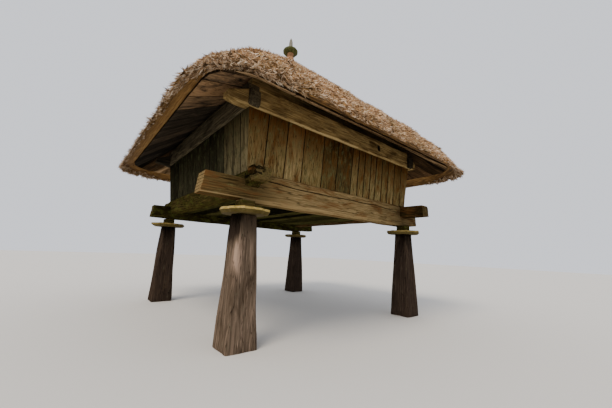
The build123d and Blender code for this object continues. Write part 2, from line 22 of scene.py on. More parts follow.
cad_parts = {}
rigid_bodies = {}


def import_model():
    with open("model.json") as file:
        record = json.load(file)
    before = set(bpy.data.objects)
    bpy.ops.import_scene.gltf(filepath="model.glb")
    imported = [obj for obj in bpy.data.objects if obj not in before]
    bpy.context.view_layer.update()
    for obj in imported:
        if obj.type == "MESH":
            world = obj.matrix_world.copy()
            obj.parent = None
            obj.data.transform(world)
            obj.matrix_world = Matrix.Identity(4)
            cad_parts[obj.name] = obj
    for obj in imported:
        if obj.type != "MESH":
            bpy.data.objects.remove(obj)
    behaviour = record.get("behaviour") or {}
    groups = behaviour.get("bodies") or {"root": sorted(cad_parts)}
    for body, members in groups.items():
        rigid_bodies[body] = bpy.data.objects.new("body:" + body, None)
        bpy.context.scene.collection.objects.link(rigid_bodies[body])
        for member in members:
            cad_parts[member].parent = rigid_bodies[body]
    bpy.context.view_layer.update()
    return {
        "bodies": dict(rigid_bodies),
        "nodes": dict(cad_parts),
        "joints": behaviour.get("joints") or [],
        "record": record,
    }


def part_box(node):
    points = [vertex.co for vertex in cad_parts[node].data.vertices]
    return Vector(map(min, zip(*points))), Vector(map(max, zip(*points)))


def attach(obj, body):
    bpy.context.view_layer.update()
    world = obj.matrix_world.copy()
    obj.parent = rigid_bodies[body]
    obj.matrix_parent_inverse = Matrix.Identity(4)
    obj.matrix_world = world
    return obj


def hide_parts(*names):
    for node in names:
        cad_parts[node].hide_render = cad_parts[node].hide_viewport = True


LOG = logging.getLogger("granary")
MILLIMETRE = 0.001
CORNERS = ("front_left", "front_right", "back_left", "back_right")
# Near black of the painted shade in seams, cracks, splits and hollows.
PAINTED_SHADE_BLACK = "0d0b08"
NOISE_SEED = 1
FAR = math.inf
X, Y, Z = range(3)

Triple = tuple[float, float, float]
Cuts = Sequence[tuple[int | None, float]]
Profile = Sequence[tuple[float, float]]


def linear(colour: str) -> tuple[float, float, float, float]:
    """Turns an sRGB hex colour into linear values.

    Args:
        colour: Six hex digits, such as "8a6a48".

    Returns:
        Red, green, blue and an alpha of 1.
    """
    channels = [int(colour[start : start + 2], 16) / 255 for start in (0, 2, 4)]
    red, green, blue = (
        value / 12.92 if value <= 0.04045 else ((value + 0.055) / 1.055) ** 2.4
        for value in channels
    )
    return red, green, blue, 1.0


def add(
    tree: bpy.types.NodeTree,
    kind: str,
    settings: dict[Any, Any] | None = None,
    links: dict[Any, bpy.types.NodeSocket] | None = None,
) -> bpy.types.Node:
    """Adds a node with its settings and links.

    Args:
        tree: Node tree that takes the node.
        kind: Type name of the node.
        settings: Socket names or numbers, or the node's own properties, and their values.
        links: Socket names or numbers of the new node and the sockets that feed them.

    Returns:
        The new node.
    """
    new = tree.nodes.new(kind)
    pending = dict(settings or {})
    for key in [key for key in pending if isinstance(key, str) and hasattr(new, key)]:
        setattr(new, key, pending.pop(key))
    for key, value in pending.items():
        new.inputs[key].default_value = value
    for key, source in (links or {}).items():
        tree.links.new(source, new.inputs[key])
    return new


def clamped(value: float) -> float:
    """Keeps a value between 0 and 1."""
    return min(max(value, 0.0), 1.0)


def reach_of(place: Vector) -> float:
    """Measures how far out a place lies in the roof's rounded square plan."""
    return (abs(place.x) ** 6 + abs(place.y) ** 6) ** (1 / 6)


class Grain(Enum):
    """Direction in which a timber's fibres run."""

    ALONG_X = (1.0, 0.0, 0.0)
    ALONG_Y = (0.0, 1.0, 0.0)
    UPRIGHT = (0.0, 0.0, 1.0)
    LENGTHWISE = (0.0, 0.0, 0.0)


class Side(Enum):
    """Side of the granary, as the direction in plan that it faces."""

    FRONT = (0, -1)
    BACK = (0, 1)
    LEFT = (-1, 0)
    RIGHT = (1, 0)

    @property
    def label(self) -> str:
        """Gives the side's name as it stands in the nodes' names."""
        return self.name.lower()

    @property
    def run(self) -> int:
        """Gives the axis along which the side runs."""
        return Y if self.value[0] else X

    @property
    def grain(self) -> Grain:
        """Gives the fibres' direction in a beam on this side."""
        return Grain.ALONG_Y if self.value[0] else Grain.ALONG_X

    def laid(self, sizes: Triple) -> Triple:
        """Puts sizes given along, across and up a beam in the order of X, Y and Z."""
        along, across, up = sizes
        return (across, along, up) if self.value[0] else (along, across, up)


class Blend(Enum):
    """How the colour of a layer meets the one under it."""

    COVER = "MIX"
    TINT = "MULTIPLY"


@dataclass(frozen=True)
class Pattern:
    """Noise in patches of a real length along the fibres and width across them, in metres."""

    length: float
    width: float
    detail: float
    roughness: float
    distortion: float = 0.0

    def laid(self, tree: bpy.types.NodeTree, place: bpy.types.NodeSocket) -> bpy.types.NodeSocket:
        """Lays the pattern on a surface.

        Args:
            tree: Node tree of the material.
            place: Coordinates in metres, with the fibres along X.

        Returns:
            A value about 0.5.
        """
        scale = (1 / self.length, 1 / self.width, 1 / self.width)
        stretched = add(tree, "ShaderNodeMapping", {"Scale": scale}, {"Vector": place})
        character = {
            "Scale": 1.0, "Detail": self.detail, "Roughness": self.roughness,
            "Distortion": self.distortion,
        }
        found = {"Vector": stretched.outputs["Vector"]}
        return add(tree, "ShaderNodeTexNoise", character, found).outputs["Fac"]


@dataclass(frozen=True)
class Layer:
    """A colour that lies over the others, more so as a mark rises from least to full."""

    mark: bpy.types.NodeSocket
    colour: str
    least: float = 0.0
    full: float = 1.0
    share: float = 1.0
    blend: Blend = Blend.COVER

    @classmethod
    def patchy(
        cls,
        mark: bpy.types.NodeSocket,
        colour: str,
        levels: tuple[float, float],
        spread: float,
        share: float = 1.0,
    ) -> "Layer":
        """Makes a layer of patches that grow with their spread.

        Args:
            mark: Pattern of the patches.
            colour: Their colour.
            levels: Where in the pattern a patch begins and is full, with no spread.
            spread: How far the patches spread, from 0 to 1.
            share: How much the patches cover.

        Returns:
            The layer.
        """
        return cls(mark, colour, levels[0] - 0.3 * spread, levels[1] - 0.2 * spread, share)

    def over(self, tree: bpy.types.NodeTree, under: bpy.types.NodeSocket) -> bpy.types.NodeSocket:
        """Lays the colour over another.

        Args:
            tree: Node tree of the material.
            under: The colour so far.

        Returns:
            The new colour.
        """
        mask = add(
            tree,
            "ShaderNodeMapRange",
            {"From Min": self.least, "From Max": self.full, "To Max": self.share},
            {"Value": self.mark},
        )
        mixed = add(
            tree,
            "ShaderNodeMix",
            {"data_type": "RGBA", "blend_type": self.blend.value, 7: linear(self.colour)},
            {0: mask.outputs["Result"], 6: under},
        )
        return mixed.outputs[2]


@dataclass(frozen=True)
class Finish:
    """A real material and its surface: three tones, the depth of its relief and its gloss."""

    name: str
    dark: str
    middle: str
    light: str
    relief: float = 0.01
    bump: float = 0.8
    roughness: float = 0.92
    gloss: float = 0.2

    def begin(self, *names: str) -> tuple[bpy.types.Material, dict[str, bpy.types.NodeOutputs]]:
        """Starts the material.

        Args:
            names: Names of the marks, stored on the pieces, that the material reads.

        Returns:
            The material, and the outputs of each mark's node.
        """
        material = bpy.data.materials.new(self.name)
        material.use_nodes = True
        marks = {
            name: add(material.node_tree, "ShaderNodeAttribute", {"attribute_name": name}).outputs
            for name in names
        }
        return material, marks

    def toned(
        self,
        tree: bpy.types.NodeTree,
        shade: bpy.types.NodeSocket,
        stops: tuple[float, float, float],
    ) -> bpy.types.NodeSocket:
        """Turns a shade into the finish's dark, middle and light tones.

        Args:
            tree: Node tree of the material.
            shade: The shade.
            stops: The shades of the three tones.

        Returns:
            The colour.
        """
        ramp = add(tree, "ShaderNodeValToRGB", {}, {"Fac": shade})
        elements = ramp.color_ramp.elements
        elements.new(1.0)
        for element, stop, colour in zip(elements, stops, (self.dark, self.middle, self.light)):
            element.position = stop
            element.color = linear(colour)
        return ramp.outputs["Color"]

    def close(
        self,
        material: bpy.types.Material,
        colour: bpy.types.NodeSocket,
        height: bpy.types.NodeSocket,
    ) -> bpy.types.Material:
        """Hands colour, relief, roughness and gloss to the shader.

        Args:
            material: The material.
            colour: Its colour.
            height: Its relief.

        Returns:
            The finished material.
        """
        tree = material.node_tree
        shader = tree.nodes["Principled BSDF"]
        carved = add(
            tree,
            "ShaderNodeBump",
            {"Strength": self.bump, "Distance": self.relief},
            {"Height": height},
        )
        tree.links.new(colour, shader.inputs["Base Color"])
        tree.links.new(carved.outputs["Normal"], shader.inputs["Normal"])
        shader.inputs["Roughness"].default_value = self.roughness
        shader.inputs["Specular IOR Level"].default_value = self.gloss
        return material


@dataclass(frozen=True, kw_only=True)
class TimberFinish(Finish):
    """Old oak left to the weather: silvered or tarred by damp, with open grain and checks.

    The eye sees a matt surface with streaks along the fibres, darker damp patches, long thin
    drying cracks and a film of green and grey growth. Real fibres are under 1 mm wide, too fine
    to show, so the streaks are bundles of fibres 16 to 34 mm wide. A band darkens or silvers
    one end of the timbers, from band_from to band_to along the fibres. By default it lies
    beyond every timber.
    """

    stain: str
    growth: str
    stain_share: float = 0.5
    growth_share: float = 0.35
    tone_share: float = 0.55
    end_share: float = 0.55
    band: str = "000000"
    band_from: float = 90.0
    band_to: float = 91.0
    band_wander: float = 1.6
    streak_length: float = 450 * MILLIMETRE
    streak_width: float = 22 * MILLIMETRE
    damp_length: float = 625 * MILLIMETRE
    damp_width: float = 1000 / 6 * MILLIMETRE
    film_length: float = 200 * MILLIMETRE
    film_width: float = 1000 / 9 * MILLIMETRE
    crack_length: float = 1000 / 0.9 * MILLIMETRE
    crack_width: float = 60 * MILLIMETRE
    crack_gap: float = 0.022
    crack_light: float = 0.3
    relief: float = 12 * MILLIMETRE
    bump: float = 0.9
    roughness: float = 0.86
    gloss: float = 0.0

    def material(self) -> bpy.types.Material:
        """Builds the procedural material."""
        material, marks = self.begin("grain", "tone", "end", "hollow")
        tree = material.node_tree
        new = partial(add, tree)
        grain = marks["grain"]["Vector"]
        streaks, damp, film, checks = (
            Pattern(*size, *character).laid(tree, grain)
            for size, character in (
                ((self.streak_length, self.streak_width), (5.0, 0.62, 0.35)),
                ((self.damp_length, self.damp_width), (4.0, 0.6, 0.6)),
                ((self.film_length, self.film_width), (7.0, 0.72)),
                ((self.crack_length, self.crack_width), (2.0, 0.5, 0.4)),
            )
        )
        lifted = new(
            "ShaderNodeMath",
            {"operation": "MULTIPLY_ADD", 1: self.tone_share, 2: -self.tone_share / 2},
            {0: marks["tone"]["Fac"]},
        )
        shade = new(
            "ShaderNodeMath", {"operation": "ADD"}, {0: streaks, 1: lifted.outputs["Value"]}
        )
        colour = self.toned(tree, shade.outputs["Value"], (0.22, 0.5, 0.8))

        band_length = self.band_to - self.band_from
        fibre = new("ShaderNodeSeparateXYZ", {}, {0: grain})
        wandering = new(
            "ShaderNodeMath",
            {"operation": "MULTIPLY_ADD", 1: self.band_wander * band_length},
            {0: streaks, 2: fibre.outputs["X"]},
        )
        shift = self.band_wander * band_length / 2
        for layer in (
            Layer(
                wandering.outputs["Value"], self.band, self.band_from + shift,
                self.band_to + shift, blend=Blend.TINT,
            ),
            Layer.patchy(damp, self.stain, (0.62, 0.78), self.stain_share),
            Layer.patchy(film, self.growth, (0.66, 0.8), self.growth_share, share=0.8),
            # The end mark also carries the painted highlight on lower arrises.
            Layer(marks["end"]["Fac"], self.light, share=self.end_share),
        ):
            colour = layer.over(tree, colour)

        offset = new("ShaderNodeMath", {"operation": "SUBTRACT", 1: 0.5}, {0: checks})
        ridge = new("ShaderNodeMath", {"operation": "ABSOLUTE"}, {0: offset.outputs["Value"]})
        crack = new(
            "ShaderNodeMapRange",
            {"From Max": self.crack_gap, "To Min": self.crack_light},
            {"Value": ridge.outputs["Value"]},
        )
        cracked = new(
            "ShaderNodeMix",
            {"data_type": "RGBA", "blend_type": "MULTIPLY", 0: 1.0},
            {6: colour, 7: crack.outputs["Result"]},
        )
        # Painted shade in near black wherever the hollow mark is set.
        colour = Layer(marks["hollow"]["Fac"], PAINTED_SHADE_BLACK).over(tree, cracked.outputs[2])
        height = new(
            "ShaderNodeMath", {"operation": "MULTIPLY"}, {0: streaks, 1: crack.outputs["Result"]}
        )
        return self.close(material, colour, height.outputs["Value"])


@dataclass(frozen=True, kw_only=True)
class MottledFinish(Finish):
    """Stone, clay or moss: a matt, granular surface whose colour changes in soft patches.

    Its grit is 12 mm, coarser than the real grain of about 1 mm, which wouldn't show. Growth
    comes in spots that are smaller than the patches.
    """

    growth: str
    # Colour of the painted shade laid by the hollow mark.
    damp: str = "1a170f"
    patch: float = 120 * MILLIMETRE
    film_share: float = 1 / 1.7
    grit: float = 12 * MILLIMETRE
    grit_share: float = 0.3
    growth_share: float = 0.4

    def material(self) -> bpy.types.Material:
        """Builds the procedural material."""
        material, marks = self.begin("hollow")
        tree = material.node_tree
        new = partial(add, tree)
        place = new("ShaderNodeTexCoord").outputs["Object"]
        film = self.patch * self.film_share
        patches = Pattern(self.patch, self.patch, 6.0, 0.65).laid(tree, place)
        grit = Pattern(self.grit, self.grit, 3.0, 0.6).laid(tree, place)
        growth = Pattern(film, film, 8.0, 0.75, 0.8).laid(tree, place)
        mixed = new(
            "ShaderNodeMix", {"data_type": "FLOAT", 0: self.grit_share}, {2: patches, 3: grit}
        ).outputs[0]
        colour = self.toned(tree, mixed, (0.34, 0.5, 0.66))
        for layer in (
            Layer.patchy(growth, self.growth, (0.68, 0.74), self.growth_share),
            # Painted shade, in the colour given as damp, where the hollow mark is set.
            Layer(marks["hollow"]["Fac"], self.damp),
        ):
            colour = layer.over(tree, colour)
        return self.close(material, colour, mixed)


@dataclass(frozen=True, kw_only=True)
class StrawFinish(Finish):
    """Rye straw, cut by hand and laid in bundles: matt, tan when dry and brown where it is damp.

    Each straw has its own tone. The combed and trimmed faces show long streaks 18 mm wide, which
    stand for bundles, because single straws of 4 mm wouldn't show. Painted shade darkens the
    coat between the loose straws, and the straw towards the eave edge.
    """

    damp: str
    streak_length: float = 500 * MILLIMETRE
    streak_width: float = 18 * MILLIMETRE
    patch: float = 1000 / 1.3 * MILLIMETRE
    tone_share: float = 0.7
    spread: float = 0.38
    edge_share: float = 0.0
    edge_from: float = 3.9
    edge_to: float = 4.35
    relief: float = 20 * MILLIMETRE
    roughness: float = 0.9

    def material(self) -> bpy.types.Material:
        """Builds the procedural material."""
        material, marks = self.begin("grain", "tone", "hollow")
        tree = material.node_tree
        new = partial(add, tree)
        place = new("ShaderNodeTexCoord").outputs["Object"]
        level = new("ShaderNodeSeparateXYZ", {}, {0: place}).outputs["Z"]
        streaks = Pattern(self.streak_length, self.streak_width, 4.0, 0.6, 0.5).laid(
            tree, marks["grain"]["Vector"]
        )
        patches = Pattern(self.patch, self.patch, 5.0, 0.65).laid(tree, place)
        shade = new(
            "ShaderNodeMix",
            {"data_type": "FLOAT", 0: self.tone_share},
            {2: streaks, 3: marks["tone"]["Fac"]},
        )
        stops = (0.5 - self.spread, 0.5, 0.5 + self.spread)
        colour = self.toned(tree, shade.outputs[0], stops)
        for layer in (
            Layer(patches, self.damp, 0.5, 0.72, 0.75, Blend.TINT),
            # Painted shade on the coat between loose straws, and on the straw towards the eave
            # edge.
            Layer(marks["hollow"]["Fac"], self.dark),
            Layer(level, self.dark, self.edge_to, self.edge_from, self.edge_share),
        ):
            colour = layer.over(tree, colour)
        return self.close(material, colour, streaks)


# Brown, with a painted highlight on the near pillar's arris, and painted shade that turns it
# nearly black under the capstones.
PILLAR_OAK = TimberFinish(
    "hewn oak pillars, dark with damp", "362c25", "5e5042", "9c8471", stain="463a2e",
    growth="5a5844", stain_share=0.35, growth_share=0.2, tone_share=0.8,
    streak_width=34 * MILLIMETRE, streak_length=900 * MILLIMETRE, band="44463a", band_from=1.7,
    band_to=2.25,
)
# Warm brown in the sun, silvery towards the near corner, with brown stains.
SILL_OAK = TimberFinish(
    "hewn oak sill beams, silvered", "42351f", "816c48", "b0976a", stain="684626",
    growth="6b6640", stain_share=0.38, growth_share=0.3, tone_share=0.9, band="a8a498",
    band_from=-1.6, band_to=-2.4,
)
# Olive brown with soft moss, darkened as painted shade, on beams and blocks that the sun doesn't
# reach.
SILL_OAK_MOSSY_SHADED = TimberFinish(
    "hewn oak sill beams, mossy", "27220f", "5c4f2b", "7c6844", stain="40381a",
    growth="565a28", stain_share=0.4, growth_share=0.6, tone_share=0.9,
)
# Even golden brown with pale cut ends, and a painted highlight in the same pale colour on the
# lower arris.
PLATE_OAK = TimberFinish(
    "hewn oak wall plates, brown", "413320", "917a4e", "c0a876", stain="4c3a20",
    growth="6a6440", stain_share=0.4, growth_share=0.25, tone_share=0.2, end_share=0.7,
)
# Black brown painted shade, so that the plates nearly vanish under the eaves.
PLATE_OAK_SHADED = TimberFinish(
    "hewn oak wall plates, black with damp", "141310", "2f2b23", "5c5340", stain="221e18",
    growth="30321f", stain_share=0.4, growth_share=0.35, tone_share=0.4, end_share=0.4,
)
# Golden brown boards with rusty stains, fine straight saw streaks, and darker towards the top
# under the eaves.
WALL_OAK = TimberFinish(
    "sawn oak wall boards, sooty above", "211e14", "6a5b36", "a69064", stain="5a3c1c",
    growth="5c6040", growth_share=0.45, tone_share=0.5, streak_length=700 * MILLIMETRE,
    streak_width=16 * MILLIMETRE, band="8e6640", band_from=3.3, band_to=4.2,
)
# Greenish black boards in painted shade, on the side that the sun doesn't reach.
WALL_OAK_SHADED = TimberFinish(
    "sawn oak wall boards, black with damp", "191812", "3e3a2a", "7c7050", stain="241f15",
    growth="42462e", stain_share=0.4, growth_share=0.5, tone_share=0.7,
    streak_length=700 * MILLIMETRE, streak_width=16 * MILLIMETRE, band="86827a", band_from=3.4,
    band_to=4.2,
)
# Dark olive planks, seen only from below: their darkness is painted shade, their olive a painted
# cast of green bounce light.
FLOOR_OAK = TimberFinish(
    "sawn oak floor planks, olive below", "100f08", "2f2c17", "514d2a", stain="18160d",
    growth="3b3e20", stain_share=0.4, growth_share=0.4, tone_share=0.7,
    streak_width=30 * MILLIMETRE,
)
# Reddish split boards that differ much from one to the next.
EAVE_OAK = TimberFinish(
    "split oak eave boards, reddish", "2b2218", "6c5238", "c0a078", stain="3e3020",
    growth="5c5240", growth_share=0.25, tone_share=0.85,
)
# Grey and black split boards in painted shade, a few of them reddish.
EAVE_OAK_SHADED = TimberFinish(
    "split oak eave boards, black with damp", "23211e", "5c5042", "9c7c5a", stain="322c26",
    growth="464638", growth_share=0.3, tone_share=0.85,
)
# Dry brown timber that stays in the dark.
ROOF_OAK = TimberFinish(
    "oak rafters, dry and dark", "20180f", "4a3824", "6e583a", stain="2a1f13", growth="4a452b",
)
# Ochre stone with a pale top and olive growth; its brown damp colour is painted shade under the
# stones and over the far ones.
CAP_STONE = MottledFinish(
    "rough limestone caps", "7a6634", "a8904f", "d2b878", growth="75703a", damp="322a08",
)
# Dull orange clay under grey green lichen.
POT_CLAY = MottledFinish(
    "fired clay pot", "5c3e28", "8a6244", "b08864", growth="6a6748", patch=90 * MILLIMETRE,
    growth_share=0.45,
)
# Dark green cushion of moss over the stone.
BALL_MOSS = MottledFinish(
    "mossy stone ball", "2a2e16", "4a4d28", "6a693e", growth="363a1c", patch=70 * MILLIMETRE,
    growth_share=0.5, relief=20 * MILLIMETRE,
)
# Grey stone with small spots of lichen.
SPIRE_STONE = MottledFinish(
    "lichened stone spire", "555244", "7c786a", "99958a", growth="63654c",
    patch=50 * MILLIMETRE,
)
# Pinkish tan ends of straw with dark gaps, darkened by painted shade towards the eave edge.
TOP_STRAW = StrawFinish(
    "chopped rye straw, sunned", "38260f", "c9a47c", "fff0d8", damp="b5ab80", tone_share=0.85,
    spread=0.34, edge_share=0.45,
)
# Orange brown trimmed face with long streaks round the eave, in painted shade between the loose
# straws.
CUT_STRAW = StrawFinish(
    "trimmed rye straw, sheltered", "30200e", "8f6a38", "d0a868", damp="968050", tone_share=0.3,
    spread=0.2,
)
FINISHES: tuple[Finish, ...] = (
    PILLAR_OAK, SILL_OAK, SILL_OAK_MOSSY_SHADED, PLATE_OAK, PLATE_OAK_SHADED, WALL_OAK, WALL_OAK_SHADED,
    FLOOR_OAK, EAVE_OAK, EAVE_OAK_SHADED, ROOF_OAK, CAP_STONE, POT_CLAY, BALL_MOSS, SPIRE_STONE,
    TOP_STRAW, CUT_STRAW,
)


@dataclass
class Piece:
    """Common ways to copy a node's mesh, age it and hand it over as a finished piece.

    wear is how far from an arris the wear reaches and wear_angle the least angle in degrees of
    a worn edge. seam_shade is how dark the painted shade on the sides of boards is. hewing is how
    far the surface moves, in waves of hewing_reach. seed_step sets the copies of a piece apart in
    the noise, and grain_seed their tones.
    """

    frame: dict[str, Any]
    finishes: dict[Finish, bpy.types.Material]
    wear: float = 10 * MILLIMETRE
    wear_angle: float = 30.0
    seam_shade: float = 0.0
    hewing: float = 6 * MILLIMETRE
    hewing_reach: Triple = (1.0, 1.0, 1.0)
    seed_step: float = 0.0
    grain_seed: int = 0

    def aged(
        self, node: str, cuts: Cuts = (), reach: Triple | None = None, index: int = 0
    ) -> bmesh.types.BMesh:
        """Copies a node's mesh, wears its arrises and lets its surface warp.

        Args:
            node: Name of the node.
            cuts: Axis and spacing of each row of cuts, which let the mesh warp.
            reach: Wavelengths of the warp along X, Y and Z, or None for no warp.
            index: Number of the copy.

        Returns:
            A new bmesh in the shared frame.
        """
        form = bmesh.new()
        form.from_mesh(self.frame["nodes"][node].data)
        bmesh.ops.remove_doubles(form, verts=form.verts, dist=0.2 * MILLIMETRE)
        bmesh.ops.dissolve_limit(
            form,
            angle_limit=math.radians(0.8),
            use_dissolve_boundaries=False,
            verts=form.verts,
            edges=form.edges,
        )
        self.soften(form)
        if self.seam_shade:
            self.shade_sides(form)
        for axis, spacing in cuts:
            self.cut_up(form, axis, spacing)
        if reach:
            self.weather(form, self.hewing, reach, self.seed_step * index)
        return form

    def soften(self, form: bmesh.types.BMesh) -> None:
        """Wears the arrises round.

        Args:
            form: Mesh to change.
        """
        least = math.radians(self.wear_angle)
        sharp = [
            edge
            for edge in form.edges
            if len(edge.link_faces) == 2 and edge.calc_face_angle(0.0) > least
        ]
        bmesh.ops.bevel(
            form,
            geom=sharp,
            offset=self.wear,
            offset_type="OFFSET",
            affect="EDGES",
            segments=2,
            profile=0.5,
            material=-1,
            clamp_overlap=True,
        )

    def shade_sides(self, form: bmesh.types.BMesh) -> None:
        """Paints shade on the narrow sides of boards, so that the seams between them read dark.

        Args:
            form: Mesh to change, before it is cut up.
        """
        layer = form.faces.layers.float.new("hollow")
        for group in self.islands(form):
            faces = {face for vert in group for face in vert.link_faces}
            broad = max(faces, key=lambda face: face.calc_area()).normal
            for face in faces:
                face[layer] = 0.0 if abs(face.normal.dot(broad)) > 0.93 else self.seam_shade

    @staticmethod
    def cut_at(
        form: bmesh.types.BMesh,
        axis: int,
        place: float,
        faces: Sequence[bmesh.types.BMFace] | None = None,
    ) -> None:
        """Cuts a mesh, or some of its faces, along a plane across one axis.

        Args:
            form: Mesh to change.
            axis: X, Y or Z.
            place: Where on the axis the plane stands.
            faces: The faces to cut, or None for all.
        """
        if faces is None:
            parts = form.verts[:] + form.edges[:] + form.faces[:]
        else:
            edges = dict.fromkeys(edge for face in faces for edge in face.edges)
            verts = dict.fromkeys(vert for face in faces for vert in face.verts)
            parts = [*verts, *edges, *faces]
        normal = Vector((0.0, 0.0, 0.0))
        normal[axis] = 1.0
        bmesh.ops.bisect_plane(
            form, geom=parts, plane_co=normal * place, plane_no=normal, dist=0.1 * MILLIMETRE
        )

    def cut_up(self, form: bmesh.types.BMesh, axis: int, spacing: float) -> None:
        """Cuts a mesh at even steps along one axis.

        Args:
            form: Mesh to change.
            axis: X, Y or Z.
            spacing: Distance between the cuts.
        """
        places = [vert.co[axis] for vert in form.verts]
        low, high = min(places), max(places)
        count = max(1, round((high - low) / spacing))
        for index in range(1, count):
            self.cut_at(form, axis, low + (high - low) * index / count)

    @staticmethod
    def islands(form: bmesh.types.BMesh) -> list[list[bmesh.types.BMVert]]:
        """Finds the separate boards or timbers of a mesh.

        Args:
            form: Mesh to read.

        Returns:
            The vertices of each, in the order of their first ones.
        """
        seen: set[bmesh.types.BMVert] = set()
        found = []
        for start in form.verts:
            if start in seen:
                continue
            seen.add(start)
            group = [start]
            for vert in group:
                for edge in vert.link_edges:
                    other = edge.other_vert(vert)
                    if other not in seen:
                        seen.add(other)
                        group.append(other)
            found.append(group)
        return found

    def lay_grain(
        self,
        form: bmesh.types.BMesh,
        grain: Grain,
        index: int = 0,
        tone: float | Callable[[Vector], float] = 0.5,
        spread: float = 1.0,
        end: float = 1.0,
    ) -> None:
        """Stores the fibres' direction, a tone for each timber and a mark on its cut ends.

        Args:
            form: Mesh to change.
            grain: Direction of the fibres. LENGTHWISE takes each timber's own length.
            index: Number of the copy, which sets its tones apart.
            tone: Mean tone of the timbers, from 0 for dark to 1 for light, or a function that
                gives it for a timber's middle.
            spread: Range of the tones about their mean.
            end: How pale the cut ends are.
        """
        drawn = random.Random(self.grain_seed + index)
        along_layer = form.verts.layers.float_vector.new("grain")
        tone_layer = form.verts.layers.float.new("tone")
        end_layer = form.faces.layers.float.new("end")
        for group in self.islands(form):
            middle = sum((vert.co for vert in group), Vector()) / len(group)
            mean_tone = tone(middle) if callable(tone) else tone
            own_tone = mean_tone + spread * (drawn.random() - 0.5)
            shift = drawn.uniform(0.0, 40.0)
            along = Vector(grain.value)
            if grain is Grain.LENGTHWISE:
                places = numpy.array([vert.co[:] for vert in group])
                axes = numpy.linalg.svd(places - places.mean(axis=0), full_matrices=False)[2]
                along = Vector(axes[0].tolist())
            side = along.cross(Vector((0.0, 0.0, 1.0)))
            if side.length < 0.5:
                side = Vector((1.0, 0.0, 0.0))
            side.normalize()
            through = along.cross(side)
            for vert in group:
                place = vert.co
                vert[along_layer] = Vector(
                    (place.dot(along), place.dot(side) + shift, place.dot(through))
                )
                vert[tone_layer] = own_tone
            for face in {face for vert in group for face in vert.link_faces}:
                face[end_layer] = end if abs(face.normal.dot(along)) > 0.85 else 0.0

    @staticmethod
    def mark_inside(
        form: bmesh.types.BMesh, mark: str, value: float, low: Triple, high: Triple
    ) -> None:
        """Sets a mark on the faces whose middles lie inside a box.

        Args:
            form: Mesh to change.
            mark: Name of the mark.
            value: Its new value.
            low: Least X, Y and Z of the box.
            high: Greatest X, Y and Z of the box.
        """
        layer = form.faces.layers.float[mark]
        for face in form.faces:
            middle = face.calc_center_median()
            if all(low[axis] < middle[axis] < high[axis] for axis in (X, Y, Z)):
                face[layer] = value

    @staticmethod
    def bleach_arris(
        form: bmesh.types.BMesh, span: tuple[float, float] = (-FAR, FAR), share: float = 1.0
    ) -> None:
        """Paints a highlight on the lower arris of a timber on the front, in the pale colour of a
        cut end.

        Args:
            form: Mesh to change, with its cut ends marked.
            span: Places along X between which the painted highlight is full.
            share: How strong the painted highlight is elsewhere.
        """
        layer = form.faces.layers.float["end"]
        start, stop = span
        for face in form.faces:
            if face.normal.y < -0.3 and face.normal.z < -0.3:
                # bare marks where the painted highlight is full.
                bare = start < face.calc_center_median().x < stop
                face[layer] = 1.0 if bare else share

    @staticmethod
    def weather(form: bmesh.types.BMesh, amount: float, reach: Triple, seed: float = 0.0) -> None:
        """Moves the surface a little, so that it looks hewn and warped.

        Args:
            form: Mesh to change.
            amount: Greatest movement.
            reach: Wavelengths of the movement along X, Y and Z.
            seed: Place in the noise, so that pieces differ.
        """
        for vert in form.verts:
            place = Vector([vert.co[axis] / reach[axis] + seed for axis in (X, Y, Z)])
            vert.co += noise.noise_vector(place) * amount

    def finish(
        self,
        name: str,
        form: bmesh.types.BMesh,
        finish: Finish,
        slot: str,
        nodes: Iterable[str],
        smooth_angle: float = 40.0,
    ) -> bpy.types.Object:
        """Makes a piece of a mesh and hands it to the frame.

        Args:
            name: Name of the piece.
            form: Its mesh, which is used up.
            finish: Its material and surface.
            slot: The record's material slot; not used.
            nodes: CAD nodes that it stands for.
            smooth_angle: Edges flatter than this, in degrees, are shaded smooth.

        Returns:
            The finished object.
        """
        mesh = bpy.data.meshes.new(name)
        form.to_mesh(mesh)
        form.free()
        mesh.shade_smooth()
        mesh.set_sharp_from_angle(angle=math.radians(smooth_angle))
        mesh.materials.append(self.finishes[finish])
        piece = bpy.data.objects.new(name, mesh)
        bpy.context.scene.collection.objects.link(piece)
        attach(piece, "root")
        if nodes:
            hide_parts(*nodes)
        LOG.info("%s: %d faces", name, len(mesh.polygons))
        return piece


